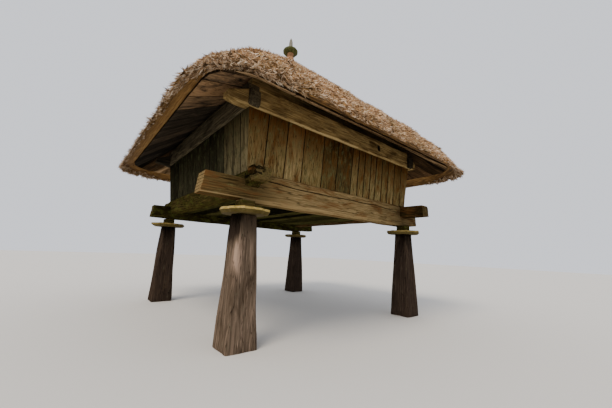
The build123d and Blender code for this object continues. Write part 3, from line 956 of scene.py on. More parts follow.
@dataclass
class Pillars(Piece):
    """Four tapering pillars of hewn timber, one of them in the open at the near corner."""

    wear: float = 16 * MILLIMETRE
    wear_angle: float = 25.0
    hewing: float = 20 * MILLIMETRE
    hewing_reach: Triple = (0.25, 0.25, 0.8)
    cuts: Cuts = ((Z, 0.16), (X, 0.08), (Y, 0.08))
    seed_step: float = 7.3
    grain_seed: int = 10
    # The lower tones of all but the near pillar are painted shade.
    tones: tuple[float, ...] = (0.48, 0.12, 0.07, 0.07)
    foot_slack: float = 12 * MILLIMETRE
    place: float = 2.54
    height: float = 2.21
    foot_half: float = 0.275
    head_half: float = 0.175
    arris_reach: float = 0.13
    arris_level: float = 1.5
    arris_half: float = 0.65
    arris_tone: float = 0.65
    side_depth: float = 0.04
    damp_from: float = 1.68
    damp_rise: float = 0.18
    damp_tone: float = 0.6

    def build(self) -> None:
        """Builds the pillars. The first has a painted highlight on its arris and painted shade
        high on its left side, and the others are darker in painted shade.
        """
        for index, corner in enumerate(CORNERS):
            node = f"pillar_{corner}"
            form = self.aged(node, self.cuts, self.hewing_reach, index)
            for vert in form.verts:
                if vert.co.z < self.foot_slack:
                    vert.co.z = 0.0
            self.lay_grain(form, Grain.UPRIGHT, index, self.tones[index], spread=0.0)
            if corner == "front_left":
                self.wear_near(form)
            self.finish(f"{node}_hewn", form, PILLAR_OAK, "pillar_timber", [node])

    def wear_near(self, form: bmesh.types.BMesh) -> None:
        """Paints a highlight on the near pillar's arris and paints shade on its side under the
        capstone.

        Args:
            form: Mesh of the pillar, with its tones.
        """
        tones = form.verts.layers.float["tone"]
        for vert in form.verts:
            level = vert.co.z
            half = self.foot_half + (self.head_half - self.foot_half) * level / self.height
            past_side, past_front = (-vert.co[axis] - self.place - half for axis in (X, Y))
            near = clamped(1.0 + (past_side + past_front) / self.arris_reach)
            # bare is the strength of the painted highlight along the arris.
            bare = clamped(1.0 - abs(level - self.arris_level) / self.arris_half)
            vert[tones] += self.arris_tone * near * bare
            # Painted shade on the left side under the capstone.
            if past_side > -self.side_depth:
                vert[tones] -= self.damp_tone * clamped((level - self.damp_from) / self.damp_rise)


@dataclass
class Capstones(Piece):
    """Rough flat stones that keep mice off the granary."""

    wear: float = 8 * MILLIMETRE
    wear_angle: float = 12.0
    cuts: Cuts = ((X, 0.05), (Y, 0.05))
    seed_step: float = 3.1
    roughness: float = 0.04
    lump: float = 1 / 7
    flatness: float = 0.25
    # Painted shade over each whole stone, none on the near one; damp_below paints shade under
    # them all.
    damp: tuple[float, ...] = (0.0, 0.35, 0.5, 0.6)
    damp_below: float = 0.85

    def build(self) -> None:
        """Builds the capstones, with painted shade under them and over the far ones."""
        for index, corner in enumerate(CORNERS):
            node = f"capstone_{corner}"
            form = self.aged(node, self.cuts)
            self.roughen(form, self.seed_step * index)
            layer = form.faces.layers.float.new("hollow")
            for face in form.faces:
                face[layer] = self.damp_below if face.normal.z < -0.25 else self.damp[index]
            self.finish(f"{node}_rough", form, CAP_STONE, "capstone", [node], 60.0)

    def roughen(self, form: bmesh.types.BMesh, seed: float) -> None:
        """Chips the rim and leaves the seats of pillar and block nearly flat.

        Args:
            form: Mesh to change.
            seed: Place in the noise.
        """
        low, high = (place(vert.co.z for vert in form.verts) for place in (min, max))
        middle = (low + high) / 2
        for vert in form.verts:
            place = vert.co / self.lump + Vector((seed, 0.0, seed))
            push = noise.noise_vector(place) * self.roughness
            push.z *= self.flatness
            push.z = min(push.z, 0.0) if vert.co.z > middle else max(push.z, 0.0)
            vert.co += push


@dataclass
class BearingBlocks(Piece):
    """Squared blocks between capstone and sill."""

    hewing: float = 7 * MILLIMETRE
    hewing_reach: Triple = (0.12, 0.12, 0.08)
    cuts: Cuts = ((Z, 0.05), (X, 0.06), (Y, 0.06))
    seed_step: float = 2.7
    grain_seed: int = 20
    tone: float = 0.3
    tone_spread: float = 0.2

    def build(self) -> None:
        """Builds the blocks, in the mossy finish with painted shade."""
        for index, corner in enumerate(CORNERS):
            node = f"bearing_block_{corner}"
            form = self.aged(node, self.cuts, self.hewing_reach, index)
            self.lay_grain(form, Grain.ALONG_X, index, self.tone, self.tone_spread, end=0.0)
            self.finish(f"{node}_hewn", form, SILL_OAK_MOSSY_SHADED, "block_timber", [node])


@dataclass
class SillBeams(Piece):
    """The four big beams under the walls, with a crack, split end fibres and a rotten end.

    The rotten end, past bare_from, shows bare wood instead of moss.
    """

    wear: float = 18 * MILLIMETRE
    hewing: float = 16 * MILLIMETRE
    hewing_reach: Triple = (0.7, 0.18, 0.12)
    cut: float = 0.11
    seed_step: float = 5.9
    grain_seed: int = 30
    knot_seed: int = 5
    # The lower tones of the other beams are painted shade.
    tones: tuple[float, ...] = (0.52, 0.1, 0.3, 0.25)
    ends: tuple[float, ...] = (0.6, 0.3, 0.0, 0.15)
    crack_level: float = 2.86
    crack_half: float = 11 * MILLIMETRE
    crack_depth: float = 0.04
    crack_reach: float = 0.1
    crack_wave: float = 18 * MILLIMETRE
    crack_waves: tuple[Triple, ...] = ((1.0, 2.1, 0.0), (0.5, 5.7, 1.0))
    crack_ends: tuple[float, float] = (-2.55, 1.95)
    face_depth: float = 0.03
    split_step: float = 62 * MILLIMETRE
    split_half: float = 6 * MILLIMETRE
    split_reach: float = 0.1
    split_shade: float = 0.7
    shade_from: float = 0.5
    shade_run: float = 2.0
    shade_share: float = 0.5
    hollow_from: tuple[float, float] = (-2.46, 2.86)
    hollow_shade: float = 0.85
    rot_gap: float = 0.02
    decay: float = 25 * MILLIMETRE
    decay_reach: float = 0.07
    crumb_rate: float = 40.0
    knots: tuple[tuple[Triple, Triple], ...] = (
        ((-2.6, -2.86, 2.96), (0.07, 0.1, 0.08)),
        ((-2.51, -2.92, 3.03), (0.045, 0.06, 0.05)),
        ((-2.38, -2.92, 3.05), (0.045, 0.06, 0.045)),
    )
    knot_tones: tuple[float, ...] = (0.05, 0.8, 0.9)
    bare_from: float = -2.8
    rotten_bleach: float = 0.7

    def build(self) -> None:
        """Builds the beams. The front one is lighter, with a painted highlight on its lower
        arris, and the others are darker in painted shade.
        """
        for index, side in enumerate(Side):
            node = f"sill_beam_{side.label}"
            form = self.aged(node, ((side.run, self.cut), (Z, self.cut / 2)))
            layer = form.faces.layers.float.new("hollow")
            if side is Side.FRONT:
                self.open_crack(form, layer)
                self.split_end(form, layer)
            reach = side.laid(self.hewing_reach)
            self.weather(form, self.hewing, reach, self.seed_step * index)
            if side is Side.LEFT:
                self.rot(form)
            self.lay_grain(form, side.grain, index, self.tones[index], 0.0, self.ends[index])
            if side is Side.FRONT:
                # Painted highlight along the front beam's lower arris.
                self.bleach_arris(form)
            if side is Side.LEFT:
                rotten = (FAR, self.bare_from, FAR)
                self.mark_inside(form, "end", self.rotten_bleach, (-FAR, -FAR, -FAR), rotten)
            # The left and back beams take the mossy finish in painted shade.
            finish = SILL_OAK_MOSSY_SHADED if side in (Side.LEFT, Side.BACK) else SILL_OAK
            self.finish(f"{node}_hewn", form, finish, "sill_timber", [node])
        self.lay_knots()

    def open_crack(self, form: bmesh.types.BMesh, layer: bmesh.types.BMLayerItem) -> None:
        """Opens the long wavy drying crack in the front beam, with painted shade in it and
        painted shade over the beam that grows to the right.

        Args:
            form: Mesh of the beam.
            layer: Face layer of painted shade.
        """
        level, half = self.crack_level, self.crack_half
        for place in (level - half, level, level + half):
            self.cut_at(form, Z, place)
        outer = min(vert.co.y for vert in form.verts) + self.face_depth
        start, stop = self.crack_ends
        for face in form.faces:
            middle = face.calc_center_median()
            inside = middle.y < outer and start < middle.x < stop
            cracked = inside and abs(middle.z - level) < half
            shade = self.shade_share * clamped((middle.x - self.shade_from) / self.shade_run)
            face[layer] = self.hollow_shade if cracked else shade
        for vert in form.verts:
            x, y, z = vert.co
            if y < outer and start < x < stop:
                if abs(z - level) < MILLIMETRE:
                    vert.co.y += self.crack_depth
                near = clamped(1.0 - abs(z - level) / self.crack_reach)
                wave = sum(size * math.sin(rate * x + at) for size, rate, at in self.crack_waves)
                vert.co.z += self.crack_wave * wave * near

    def split_end(self, form: bmesh.types.BMesh, layer: bmesh.types.BMLayerItem) -> None:
        """Paints level splits in the front beam's left end as bands of painted shade.

        Args:
            form: Mesh of the beam.
            layer: Face layer of painted shade.
        """
        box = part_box("sill_beam_front")
        reach = box[0][0] + self.split_reach
        level = box[0][2] + self.split_step / 2
        while level < box[1][2]:
            for place in (level - self.split_half, level + self.split_half):
                near = [face for face in form.faces if face.calc_center_median().x < reach]
                self.cut_at(form, Z, place, near)
            for face in form.faces:
                middle = face.calc_center_median()
                level_with = abs(middle.z - level) < self.split_half
                if level_with and middle.x < reach and face.normal.x < -0.8:
                    face[layer] = self.split_shade
            level += self.split_step

    def rot(self, form: bmesh.types.BMesh) -> None:
        """Eats away the end of the left beam and paints shade into its hollow.

        Args:
            form: Mesh of the beam.
        """
        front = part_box("sill_beam_front")[0][1] - self.rot_gap
        near = [edge for edge in form.edges if all(vert.co.y < front for vert in edge.verts)]
        bmesh.ops.subdivide_edges(form, edges=near, cuts=2, use_grid_fill=True)
        side, level = self.hollow_from
        low, high = (-FAR, -FAR, level), (side, front, FAR)
        self.mark_inside(form, "hollow", self.hollow_shade, low, high)
        self.eat_away([vert for vert in form.verts if vert.co.y < front])

    def eat_away(self, verts: Iterable[bmesh.types.BMVert]) -> None:
        """Gives rotten wood its crumbled surface.

        Args:
            verts: Vertices to move.
        """
        for vert in verts:
            decayed = noise.noise_vector(vert.co / self.decay_reach) * self.decay
            vert.co += decayed + noise.noise_vector(vert.co * self.crumb_rate) * self.decay / 3

    def lay_knots(self) -> None:
        """Sets the hard knots that outlast the rot on the left beam's end, bare of moss."""
        form = bmesh.new()
        for centre, radii in self.knots:
            shape = Matrix.Translation(centre) @ Matrix.Diagonal((*radii, 1.0))
            bmesh.ops.create_icosphere(form, subdivisions=4, radius=1.0, matrix=shape)
        self.eat_away(form.verts)
        tones = iter(self.knot_tones)
        self.lay_grain(form, Grain.ALONG_Y, self.knot_seed, lambda _: next(tones), 0.0, 0.0)
        self.finish("sill_beam_left_knots", form, SILL_OAK, "sill_timber", [])


@dataclass
class Floor(Piece):
    """Planks of the floor, seen from below."""

    wear: float = 6 * MILLIMETRE
    wear_angle: float = 60.0
    seam_shade: float = 1.0
    hewing_reach: Triple = (0.3, 0.9, 0.3)
    cuts: Cuts = ((Y, 0.3),)
    grain_seed: int = 40

    def build(self) -> None:
        """Builds the planks."""
        form = self.aged("floor_planks", self.cuts, self.hewing_reach)
        self.lay_grain(form, Grain.ALONG_Y)
        self.finish("floor_planks_sawn", form, FLOOR_OAK, "floor_boards", ["floor_planks"])


@dataclass
class Boards(Piece):
    """Boards of the four sides, in tones that follow the photograph on the two visible ones.

    front_tones gives the tone of the front boards past each place along X, from
    the right, and on the eaves paints light at the near corner. The left boards take painted
    light: near_tone from near_from on, and near_fall less for each
    metre along Y.
    None as the axis of a cut stands for the one along which the side runs.
    """

    grain: Grain = Grain.LENGTHWISE
    cuts: Cuts = ()
    tones: tuple[float, ...] = ()
    tone_spread: float = 0.0
    front_tones: tuple[tuple[float, float], ...] = ()
    near_from: float = 0.0
    near_tone: float = 0.0
    near_fall: float = 0.0

    def front_tone(self, middle: Vector) -> float:
        """Gives a front board its tone, which on the eaves paints light at the near corner."""
        return next(tone for start, tone in self.front_tones if middle.x > start)

    def left_tone(self, middle: Vector) -> float:
        """Gives a left board a tone, with painted light that falls off from the near corner."""
        return max(self.tones[2], self.near_tone - self.near_fall * (middle.y - self.near_from))

    def lay(self, kind: str, ending: str, slot: str, sunned: Finish, damp: Finish) -> None:
        """Lays the boards of each side.

        Args:
            kind: What the nodes' names begin with, and the pieces' names as well.
            ending: What is added to the pieces' names.
            slot: The record's material slot.
            sunned: Finish of the boards.
            damp: Finish of those on the left, a copy in painted shade where the sun doesn't
                reach.
        """
        tones = {Side.FRONT: self.front_tone, Side.LEFT: self.left_tone}
        for index, side in enumerate(Side):
            node = f"{kind}_{side.label}"
            cuts = [(side.run if axis is None else axis, step) for axis, step in self.cuts]
            form = self.aged(node, cuts, self.hewing_reach, index)
            tone = tones.get(side, self.tones[index])
            self.lay_grain(form, self.grain, index, tone, self.tone_spread)
            # The left boards take the copy in painted shade.
            finish = damp if side is Side.LEFT else sunned
            self.finish(f"{node}_{ending}", form, finish, slot, [node])


@dataclass
class Walls(Boards):
    """Upright boards of the four walls, the front one sunned and the others darker in painted
    shade.

    The front has light wide boards, then two dark ones and middling narrow ones.
    """

    wear: float = 9 * MILLIMETRE
    wear_angle: float = 60.0
    seam_shade: float = 0.85
    hewing: float = 7 * MILLIMETRE
    hewing_reach: Triple = (0.2, 0.2, 0.5)
    cuts: Cuts = ((Z, 0.12), (None, 0.1))
    seed_step: float = 4.3
    grain: Grain = Grain.UPRIGHT
    grain_seed: int = 50
    tones: tuple[float, ...] = (0.7, 0.3, 0.28, 0.3)
    tone_spread: float = 0.22
    front_tones: tuple[tuple[float, float], ...] = ((0.19, 0.62), (-0.8, 0.3), (-FAR, 0.7))
    # Painted light on the left boards near the corner.
    near_from: float = -2.5
    near_tone: float = 0.95
    near_fall: float = 0.4

    def build(self) -> None:
        """Builds the walls."""
        self.lay("wall", "boards", "wall_boards", WALL_OAK, WALL_OAK_SHADED)


@dataclass
class Plates(Piece):
    """Wall plates and the thinner plates above them."""

    wear: float = 14 * MILLIMETRE
    hewing: float = 12 * MILLIMETRE
    hewing_reach: Triple = (0.7, 0.2, 0.14)
    cut_along: float = 0.11
    cut_high: float = 0.06
    seed_step: float = 6.1
    grain_seed: int = 60
    end: float = 0.15
    soot: float = 0.8
    soot_from: float = -2.3
    peg_hole: tuple[float, float] = (1.15, 0.225)
    peg_half: tuple[float, float] = (0.055, 0.07)
    peg_shade: float = 0.95
    pale_span: tuple[float, float] = (-1.75, 0.35)
    pale_share: float = 0.3

    def build(self) -> None:
        """Builds the plates. The thin upper ones, but for the left ones, are black with painted
        shade from the thatch, and all but the front plates take the copy in painted shade.
        """
        for index, side in enumerate(Side):
            for kind in ("wall_plate", "rafter_plate"):
                node = f"{kind}_{side.label}"
                cuts = ((side.run, self.cut_along), (Z, self.cut_high))
                form = self.aged(node, cuts, side.laid(self.hewing_reach), index)
                layer = form.faces.layers.float.new("hollow")
                # Painted shade under the thatch on the thin upper plates, fading out towards the
                # near corner.
                dusky = kind == "rafter_plate" and side is not Side.LEFT
                for face in form.faces:
                    away = face.calc_center_median().x - self.soot_from
                    face[layer] = self.soot * clamped(away) if dusky else 0.0
                self.lay_grain(form, side.grain, index, end=self.end)
                if node == "wall_plate_front":
                    # Painted highlight along the front plate's lower arris.
                    self.bleach_arris(form, self.pale_span, self.pale_share)
                    self.dark_hole(form)
                # All but the front plates take the copy in painted shade.
                finish = PLATE_OAK if side is Side.FRONT else PLATE_OAK_SHADED
                self.finish(f"{node}_hewn", form, finish, "plate_timber", [node])

    def dark_hole(self, form: bmesh.types.BMesh) -> None:
        """Paints shade into the empty peg hole in the front plate.

        Args:
            form: Mesh of the plate.
        """
        across, rise = self.peg_hole
        width, height = self.peg_half
        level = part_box("wall_plate_front")[0][2] + rise
        low, high = ((across + way * width, way * FAR, level + way * height) for way in (-1, 1))
        self.mark_inside(form, "hollow", self.peg_shade, low, high)


@dataclass
class Eaves(Boards):
    """Boards that fan out under the thatch, some of them black, and those on the left in painted
    shade.

    The front ones have painted light at the near corner and are dark at the far one.
    """

    wear_angle: float = 40.0
    seam_shade: float = 0.9
    hewing_reach: Triple = (0.3, 0.3, 0.3)
    cuts: Cuts = ((X, 0.15), (Y, 0.15))
    seed_step: float = 8.7
    grain_seed: int = 70
    tones: tuple[float, ...] = (0.75, 0.5, 0.15, 0.15)
    tone_spread: float = 0.6
    # Painted light lifts the front boards at the near corner.
    front_tones: tuple[tuple[float, float], ...] = ((2.2, 0.4), (-1.9, 0.75), (-FAR, 2.2))
    # Painted light on the left boards near the corner.
    near_from: float = -3.2
    near_tone: float = 1.1
    near_fall: float = 0.35

    def build(self) -> None:
        """Builds the eave boards."""
        self.lay("eave_boards", "split", "eave_boards", EAVE_OAK, EAVE_OAK_SHADED)


@dataclass
class RoofFrame(Piece):
    """Rafters and the block that takes their heads, hidden under the thatch."""

    wear: float = 8 * MILLIMETRE
    wear_angle: float = 40.0
    grain_seed: int = 80

    def build(self) -> None:
        """Builds the roof's timbers."""
        for index, node in enumerate(("common_rafters", "hip_rafters", "king_block")):
            form = self.aged(node)
            grain = Grain.UPRIGHT if node == "king_block" else Grain.LENGTHWISE
            self.lay_grain(form, grain, index)
            self.finish(f"{node}_hewn", form, ROOF_OAK, "roof_timber", [node])


@dataclass
class Finial(Piece):
    """Clay pot, mossy ball and spire on the crown. Profiles give radius and height."""

    hewing: float = 14 * MILLIMETRE
    hewing_reach: Triple = (0.06, 0.06, 0.05)
    sides: int = 40
    pot: Profile = (
        (0.0, 0.0), (0.15, 0.0), (0.168, 0.012), (0.166, 0.036), (0.146, 0.056), (0.134, 0.1),
        (0.112, 0.18), (0.104, 0.25), (0.11, 0.28), (0.116, 0.3), (0.0, 0.3),
    )
    ball_seat: float = 0.07
    ball_radius: float = 0.25
    ball_height: float = 0.18
    ball_steps: int = 16
    spire: Profile = (
        (0.0, 0.0), (0.064, 0.0), (0.066, 0.03), (0.064, 0.1), (0.062, 0.22), (0.054, 0.29),
        (0.038, 0.36), (0.014, 0.42), (0.0, 0.43),
    )

    def ball(self) -> Profile:
        """Draws the flattened ball, an oval rim between small flats.

        Returns:
            Its profile, from the bottom up.
        """
        swell = self.ball_radius - self.ball_seat
        turns = [math.pi * step / self.ball_steps for step in range(self.ball_steps + 1)]
        rim = [
            (self.ball_seat + swell * math.sin(turn), self.ball_height * (1 - math.cos(turn)) / 2)
            for turn in turns
        ]
        return [(0.0, 0.0), *rim, (0.0, self.ball_height)]

    def turned(self, node: str, profile: Profile) -> bmesh.types.BMesh:
        """Turns a profile about the vertical axis.

        Args:
            node: CAD node whose lowest level the piece stands on.
            profile: Radius and height of each point, from the bottom up. The first and the
                last lie on the axis.

        Returns:
            The closed turned form.
        """
        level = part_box(node)[0][2]
        form = bmesh.new()
        verts = [form.verts.new((radius, 0.0, level + height)) for radius, height in profile]
        edges = [form.edges.new(pair) for pair in zip(verts, verts[1:])]
        bmesh.ops.spin(
            form,
            geom=verts + edges,
            cent=(0.0, 0.0, 0.0),
            axis=(0.0, 0.0, 1.0),
            angle=2 * math.pi,
            steps=self.sides,
            use_merge=True,
        )
        bmesh.ops.remove_doubles(form, verts=form.verts, dist=0.3 * MILLIMETRE)
        bmesh.ops.recalc_face_normals(form, faces=form.faces)
        return form

    def build(self) -> None:
        """Builds the pot, the ball and the spire."""
        for node, profile, surface, finish, angle in (
            ("finial_pot", self.pot, "clay", POT_CLAY, 50.0),
            ("finial_ball", self.ball(), "moss", BALL_MOSS, 70.0),
            ("finial_spire", self.spire, "stone", SPIRE_STONE, 50.0),
        ):
            form = self.turned(node, profile)
            if finish is BALL_MOSS:
                self.weather(form, self.hewing, self.hewing_reach)
            self.finish(f"{node}_{surface}", form, finish, "finial", [node], angle)


@dataclass
class Thatch(Piece):
    """One thick coat of thatch with chopped straw laid over it.

    Reaches are measured out from the crown, in the roof's rounded square plan.
    """

    voxel: float = 75 * MILLIMETRE
    smoothings: int = 4
    sink: float = 0.06
    swell: float = 0.05
    swell_reach: float = 0.6
    ruffle: float = 0.035
    ruffle_reach: float = 0.14
    rim_reach: float = 4.0
    trimmed_depth: float = 0.55
    inner_reach: float = 3.2
    inner_level: float = 5.0
    layer_turn: float = 4.5
    gap_shade: float = 0.7
    tuft_kinds: int = 12
    tuft_seed: int = 900
    straws_in_tuft: int = 6
    straw_width: float = 11 * MILLIMETRE
    straw_length: float = 88 * MILLIMETRE
    straw_tilt: float = 0.3
    straw_yaw: float = 0.55
    straw_lift: float = 0.35
    tuft_spread: tuple[tuple[float, float], ...] = ((-0.02, 0.02), (-0.03, 0.03), (0.0, 0.012))
    tuft_jitter: tuple[Triple, Triple] = ((-0.3, -0.75, -0.9), (0.3, -0.1, 0.9))
    tuft_sizes: tuple[float, float] = (0.7, 1.25)
    straw_share: float = 0.6
    tufts_per_square_metre: float = 335.0
    bare_rims: tuple[float, ...] = (0.14, 0.02, 0.02, 0.14)
    bare_from: float = -3.2
    fringes: tuple[float, ...] = (0.0, 0.0, 0.12, 0.0)
    fringe_from: float = -2.2
    lip: float = 4.12

    def build(self) -> None:
        """Builds the coat and the straw on each slope."""
        coat = self.coat()
        tufts = self.tufts()
        for index, side in enumerate(Side):
            self.straw(coat, tufts, side, index)
        for tuft in tufts.objects[:]:
            bpy.data.objects.remove(tuft)
        bpy.data.collections.remove(tufts)

    @staticmethod
    def changed(
        form: bmesh.types.BMesh, name: str, kind: str, settings: dict[str, Any]
    ) -> bmesh.types.BMesh:
        """Runs one modifier over a mesh.

        Args:
            form: Mesh to change, which is used up.
            name: Name of the object that carries it meanwhile.
            kind: Type of the modifier.
            settings: Its properties and their values.

        Returns:
            The changed mesh.
        """
        before = bpy.data.meshes.new(name)
        form.to_mesh(before)
        form.free()
        carrier = bpy.data.objects.new(name, before)
        bpy.context.scene.collection.objects.link(carrier)
        modifier = carrier.modifiers.new(name, kind)
        for key, value in settings.items():
            setattr(modifier, key, value)
        after = bpy.data.meshes.new_from_object(
            carrier.evaluated_get(bpy.context.evaluated_depsgraph_get())
        )
        bpy.data.objects.remove(carrier)
        result = bmesh.new()
        result.from_mesh(after)
        for mesh in (before, after):
            bpy.data.meshes.remove(mesh)
        return result

    def coat(self) -> bpy.types.Object:
        """Joins the four slopes into one coat with an uneven surface.

        Returns:
            The coat's object.
        """
        nodes = [f"thatch_{side.label}" for side in Side]
        form = bmesh.new()
        for name in nodes:
            form.from_mesh(self.frame["nodes"][name].data)
        mitres = [face for face in form.faces if self.is_mitre(face)]
        bmesh.ops.delete(form, geom=mitres, context="FACES")
        bmesh.ops.remove_doubles(form, verts=form.verts, dist=0.5 * MILLIMETRE)
        remesh = {"mode": "VOXEL", "voxel_size": self.voxel}
        form = self.changed(form, "thatch_shell", "REMESH", remesh)
        outside = [vert for vert in form.verts if self.is_outside(vert)]
        for _ in range(self.smoothings):
            bmesh.ops.smooth_vert(
                form, verts=outside, factor=0.5, use_axis_x=True, use_axis_y=True, use_axis_z=True
            )
        form.normal_update()
        for vert in outside:
            broad = noise.noise(vert.co / self.swell_reach) * self.swell
            fine = noise.noise(vert.co / self.ruffle_reach) * self.ruffle
            vert.co += vert.normal * (broad + fine - self.sink)
        self.comb(form, set(outside))
        return self.finish("thatch_coat", form, CUT_STRAW, "thatch", nodes, 70.0)

    @staticmethod
    def is_mitre(face: bmesh.types.BMFace) -> bool:
        """Tells whether a face lies upright on one of the plan's diagonals.

        Args:
            face: Face of a slope.

        Returns:
            True for the cut where two slopes meet.
        """
        upright = abs(face.normal.z) < 0.01
        return upright and all(
            abs(abs(vert.co.x) - abs(vert.co.y)) < MILLIMETRE for vert in face.verts
        )

    def is_inner(self, place: Vector) -> bool:
        """Tells whether a place lies inside, under the thatch."""
        return reach_of(place) <= self.inner_reach and place.z <= self.inner_level

    def is_outside(self, vert: bmesh.types.BMVert) -> bool:
        """Tells whether a vertex lies on the weather side of the coat."""
        return vert.normal.z > 0.15 and not self.is_inner(vert.co)

    def comb(self, form: bmesh.types.BMesh, outside: set[bmesh.types.BMVert]) -> None:
        """Stores the run of the trimmed layers, round the eave, and painted shade where loose
        straw covers.

        Args:
            form: Mesh to change.
            outside: Vertices on the weather side, in painted shade between the loose straws.
        """
        along_layer = form.verts.layers.float_vector.new("grain")
        tone_layer = form.verts.layers.float.new("tone")
        painted_shade_layer = form.verts.layers.float.new("hollow")
        for vert in form.verts:
            reach = reach_of(vert.co)
            turn = math.atan2(vert.co.y, vert.co.x)
            vert[along_layer] = Vector((turn * self.layer_turn, reach, vert.co.z))
            vert[tone_layer] = clamped((self.rim_reach - reach) / self.trimmed_depth)
            # Painted shade on the coat where loose straw covers it.
            covered = vert in outside and vert.co.z > self.lip
            vert[painted_shade_layer] = self.gap_shade if covered else 0.0

    def tufts(self) -> bpy.types.Collection:
        """Makes a few tufts of straw, each a handful of slim closed spikes.

        Returns:
            A collection that holds one object for each kind of tuft.
        """
        kinds = bpy.data.collections.new("tufts")
        lay = Matrix.Rotation(math.radians(90), 4, "Y")
        for kind in range(self.tuft_kinds):
            drawn = random.Random(self.tuft_seed + kind)
            form = bmesh.new()
            shade_layer = form.verts.layers.float.new("shade")
            for _ in range(self.straws_in_tuft):
                length = self.straw_length * drawn.uniform(0.6, 1.3)
                tilt = Matrix.Rotation(drawn.gauss(0.0, self.straw_tilt), 4, "Y")
                yaw = Matrix.Rotation(drawn.gauss(0.0, self.straw_yaw), 4, "Z")
                shift = Matrix.Translation([drawn.uniform(*span) for span in self.tuft_spread])
                lift = Matrix.Translation((0.0, 0.0, length * self.straw_lift))
                made = bmesh.ops.create_cone(
                    form,
                    cap_ends=True,
                    cap_tris=False,
                    segments=3,
                    radius1=self.straw_width * drawn.uniform(0.6, 1.2),
                    radius2=0.0,
                    depth=length,
                    matrix=shift @ yaw @ tilt @ lay @ lift,
                )
                shade = drawn.random()
                for vert in made["verts"]:
                    vert[shade_layer] = shade
            bmesh.ops.remove_doubles(form, verts=form.verts, dist=0.1 * MILLIMETRE)
            mesh = bpy.data.meshes.new(f"tuft_{kind}")
            form.to_mesh(mesh)
            form.free()
            kinds.objects.link(bpy.data.objects.new(f"tuft_{kind}", mesh))
        return kinds

    def straw(
        self, coat: bpy.types.Object, tufts: bpy.types.Collection, side: Side, index: int
    ) -> None:
        """Scatters tufts over one slope of the coat.

        The trimmed rim stays bare away from the near corner, and there the straw hangs.

        Args:
            coat: The coat that carries them.
            tufts: The kinds of tuft.
            side: The slope's side of the granary.
            index: Number of the side, and the seed of its scatter.
        """
        form = bmesh.new()
        form.from_mesh(coat.data)
        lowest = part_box(f"thatch_{side.label}")[0][2]
        spare = []
        for face in form.faces:
            middle = face.calc_center_median()
            least = lowest + self.bare_rims[index] * clamped(middle.x - self.bare_from)
            hang = self.rim_reach - self.fringes[index] * clamped(self.fringe_from - middle.y)
            if not self.is_covered(face, side, least, hang):
                spare.append(face)
        bmesh.ops.delete(form, geom=spare, context="FACES")
        name = f"straw_{side.label}"
        form = self.changed(form, name, "NODES", {"node_group": self.laying(tufts, index)})
        self.finish(name, form, TOP_STRAW, "thatch", [], 80.0)

    def is_covered(self, face: bmesh.types.BMFace, side: Side, least: float, hang: float) -> bool:
        """Tells whether loose straw of one slope covers a face.

        Args:
            face: Face of the coat.
            side: The slope's side of the granary.
            least: Level below which no straw is laid.
            hang: Reach beyond which straw hangs under the lip.

        Returns:
            True for a face on the weather side of the slope, or under its fringe.
        """
        middle = face.calc_center_median()
        hanging = reach_of(middle) > hang and middle.z < self.lip
        if not hanging and (face.normal.z < 0.2 or middle.z < least) or self.is_inner(middle):
            return False
        x, y = side.value
        return middle.x * x + middle.y * y > abs(middle.x * y + middle.y * x)

    def laying(self, tufts: bpy.types.Collection, seed: int) -> bpy.types.NodeTree:
        """Builds the node tree that lays tufts down the slope.

        Args:
            tufts: The kinds of tuft.
            seed: Seed of the scatter.

        Returns:
            A geometry node tree.
        """
        tree = bpy.data.node_groups.new(f"lay straw {seed}", "GeometryNodeTree")
        for way in ("INPUT", "OUTPUT"):
            tree.interface.new_socket("Geometry", in_out=way, socket_type="NodeSocketGeometry")
        new = partial(add, tree)
        entry = new("NodeGroupInput")
        points = new(
            "GeometryNodeDistributePointsOnFaces",
            {"Density": self.tufts_per_square_metre, "Seed": seed},
            {"Mesh": entry.outputs[0]},
        )
        normal = points.outputs["Normal"]
        parts = new("ShaderNodeSeparateXYZ", {}, {0: normal})
        scaled = new(
            "ShaderNodeVectorMath",
            {"operation": "SCALE"},
            {0: normal, "Scale": parts.outputs["Z"]},
        )
        down = new(
            "ShaderNodeVectorMath",
            {"operation": "SUBTRACT", 1: (0.0, 0.0, 1.0)},
            {0: scaled.outputs[0]},
        )
        facing = new(
            "FunctionNodeAxesToRotation",
            {"primary_axis": "Z", "secondary_axis": "X"},
            {0: normal, 1: down.outputs[0]},
        )
        least, most = self.tuft_jitter
        jitter = new(
            "FunctionNodeRandomValue",
            {"data_type": "FLOAT_VECTOR", "Seed": seed + 50, 0: least, 1: most},
        )
        turned = new(
            "FunctionNodeRotateRotation",
            {"rotation_space": "LOCAL"},
            {0: facing.outputs[0], 1: jitter.outputs[0]},
        )
        size, tone = (
            new(
                "FunctionNodeRandomValue",
                {"data_type": "FLOAT", "Seed": seed + step, 2: low, 3: high},
            ).outputs[1]
            for step, (low, high) in ((70, self.tuft_sizes), (90, (0.0, 1.0)))
        )
        source = new(
            "GeometryNodeCollectionInfo",
            {"Collection": tufts, "Separate Children": True, "Reset Children": True},
        )
        placed = new(
            "GeometryNodeInstanceOnPoints",
            {"Pick Instance": True},
            {
                "Points": points.outputs["Points"],
                "Instance": source.outputs[0],
                "Rotation": turned.outputs[0],
                "Scale": size,
            },
        )
        toned = new(
            "GeometryNodeStoreNamedAttribute",
            {"data_type": "FLOAT", "domain": "INSTANCE", "Name": "tuft_tone"},
            {"Geometry": placed.outputs[0], "Value": tone},
        )
        real = new("GeometryNodeRealizeInstances", {}, {0: toned.outputs[0]})
        tuft_tone, shade = (
            new("GeometryNodeInputNamedAttribute", {"data_type": "FLOAT", "Name": name})
            for name in ("tuft_tone", "shade")
        )
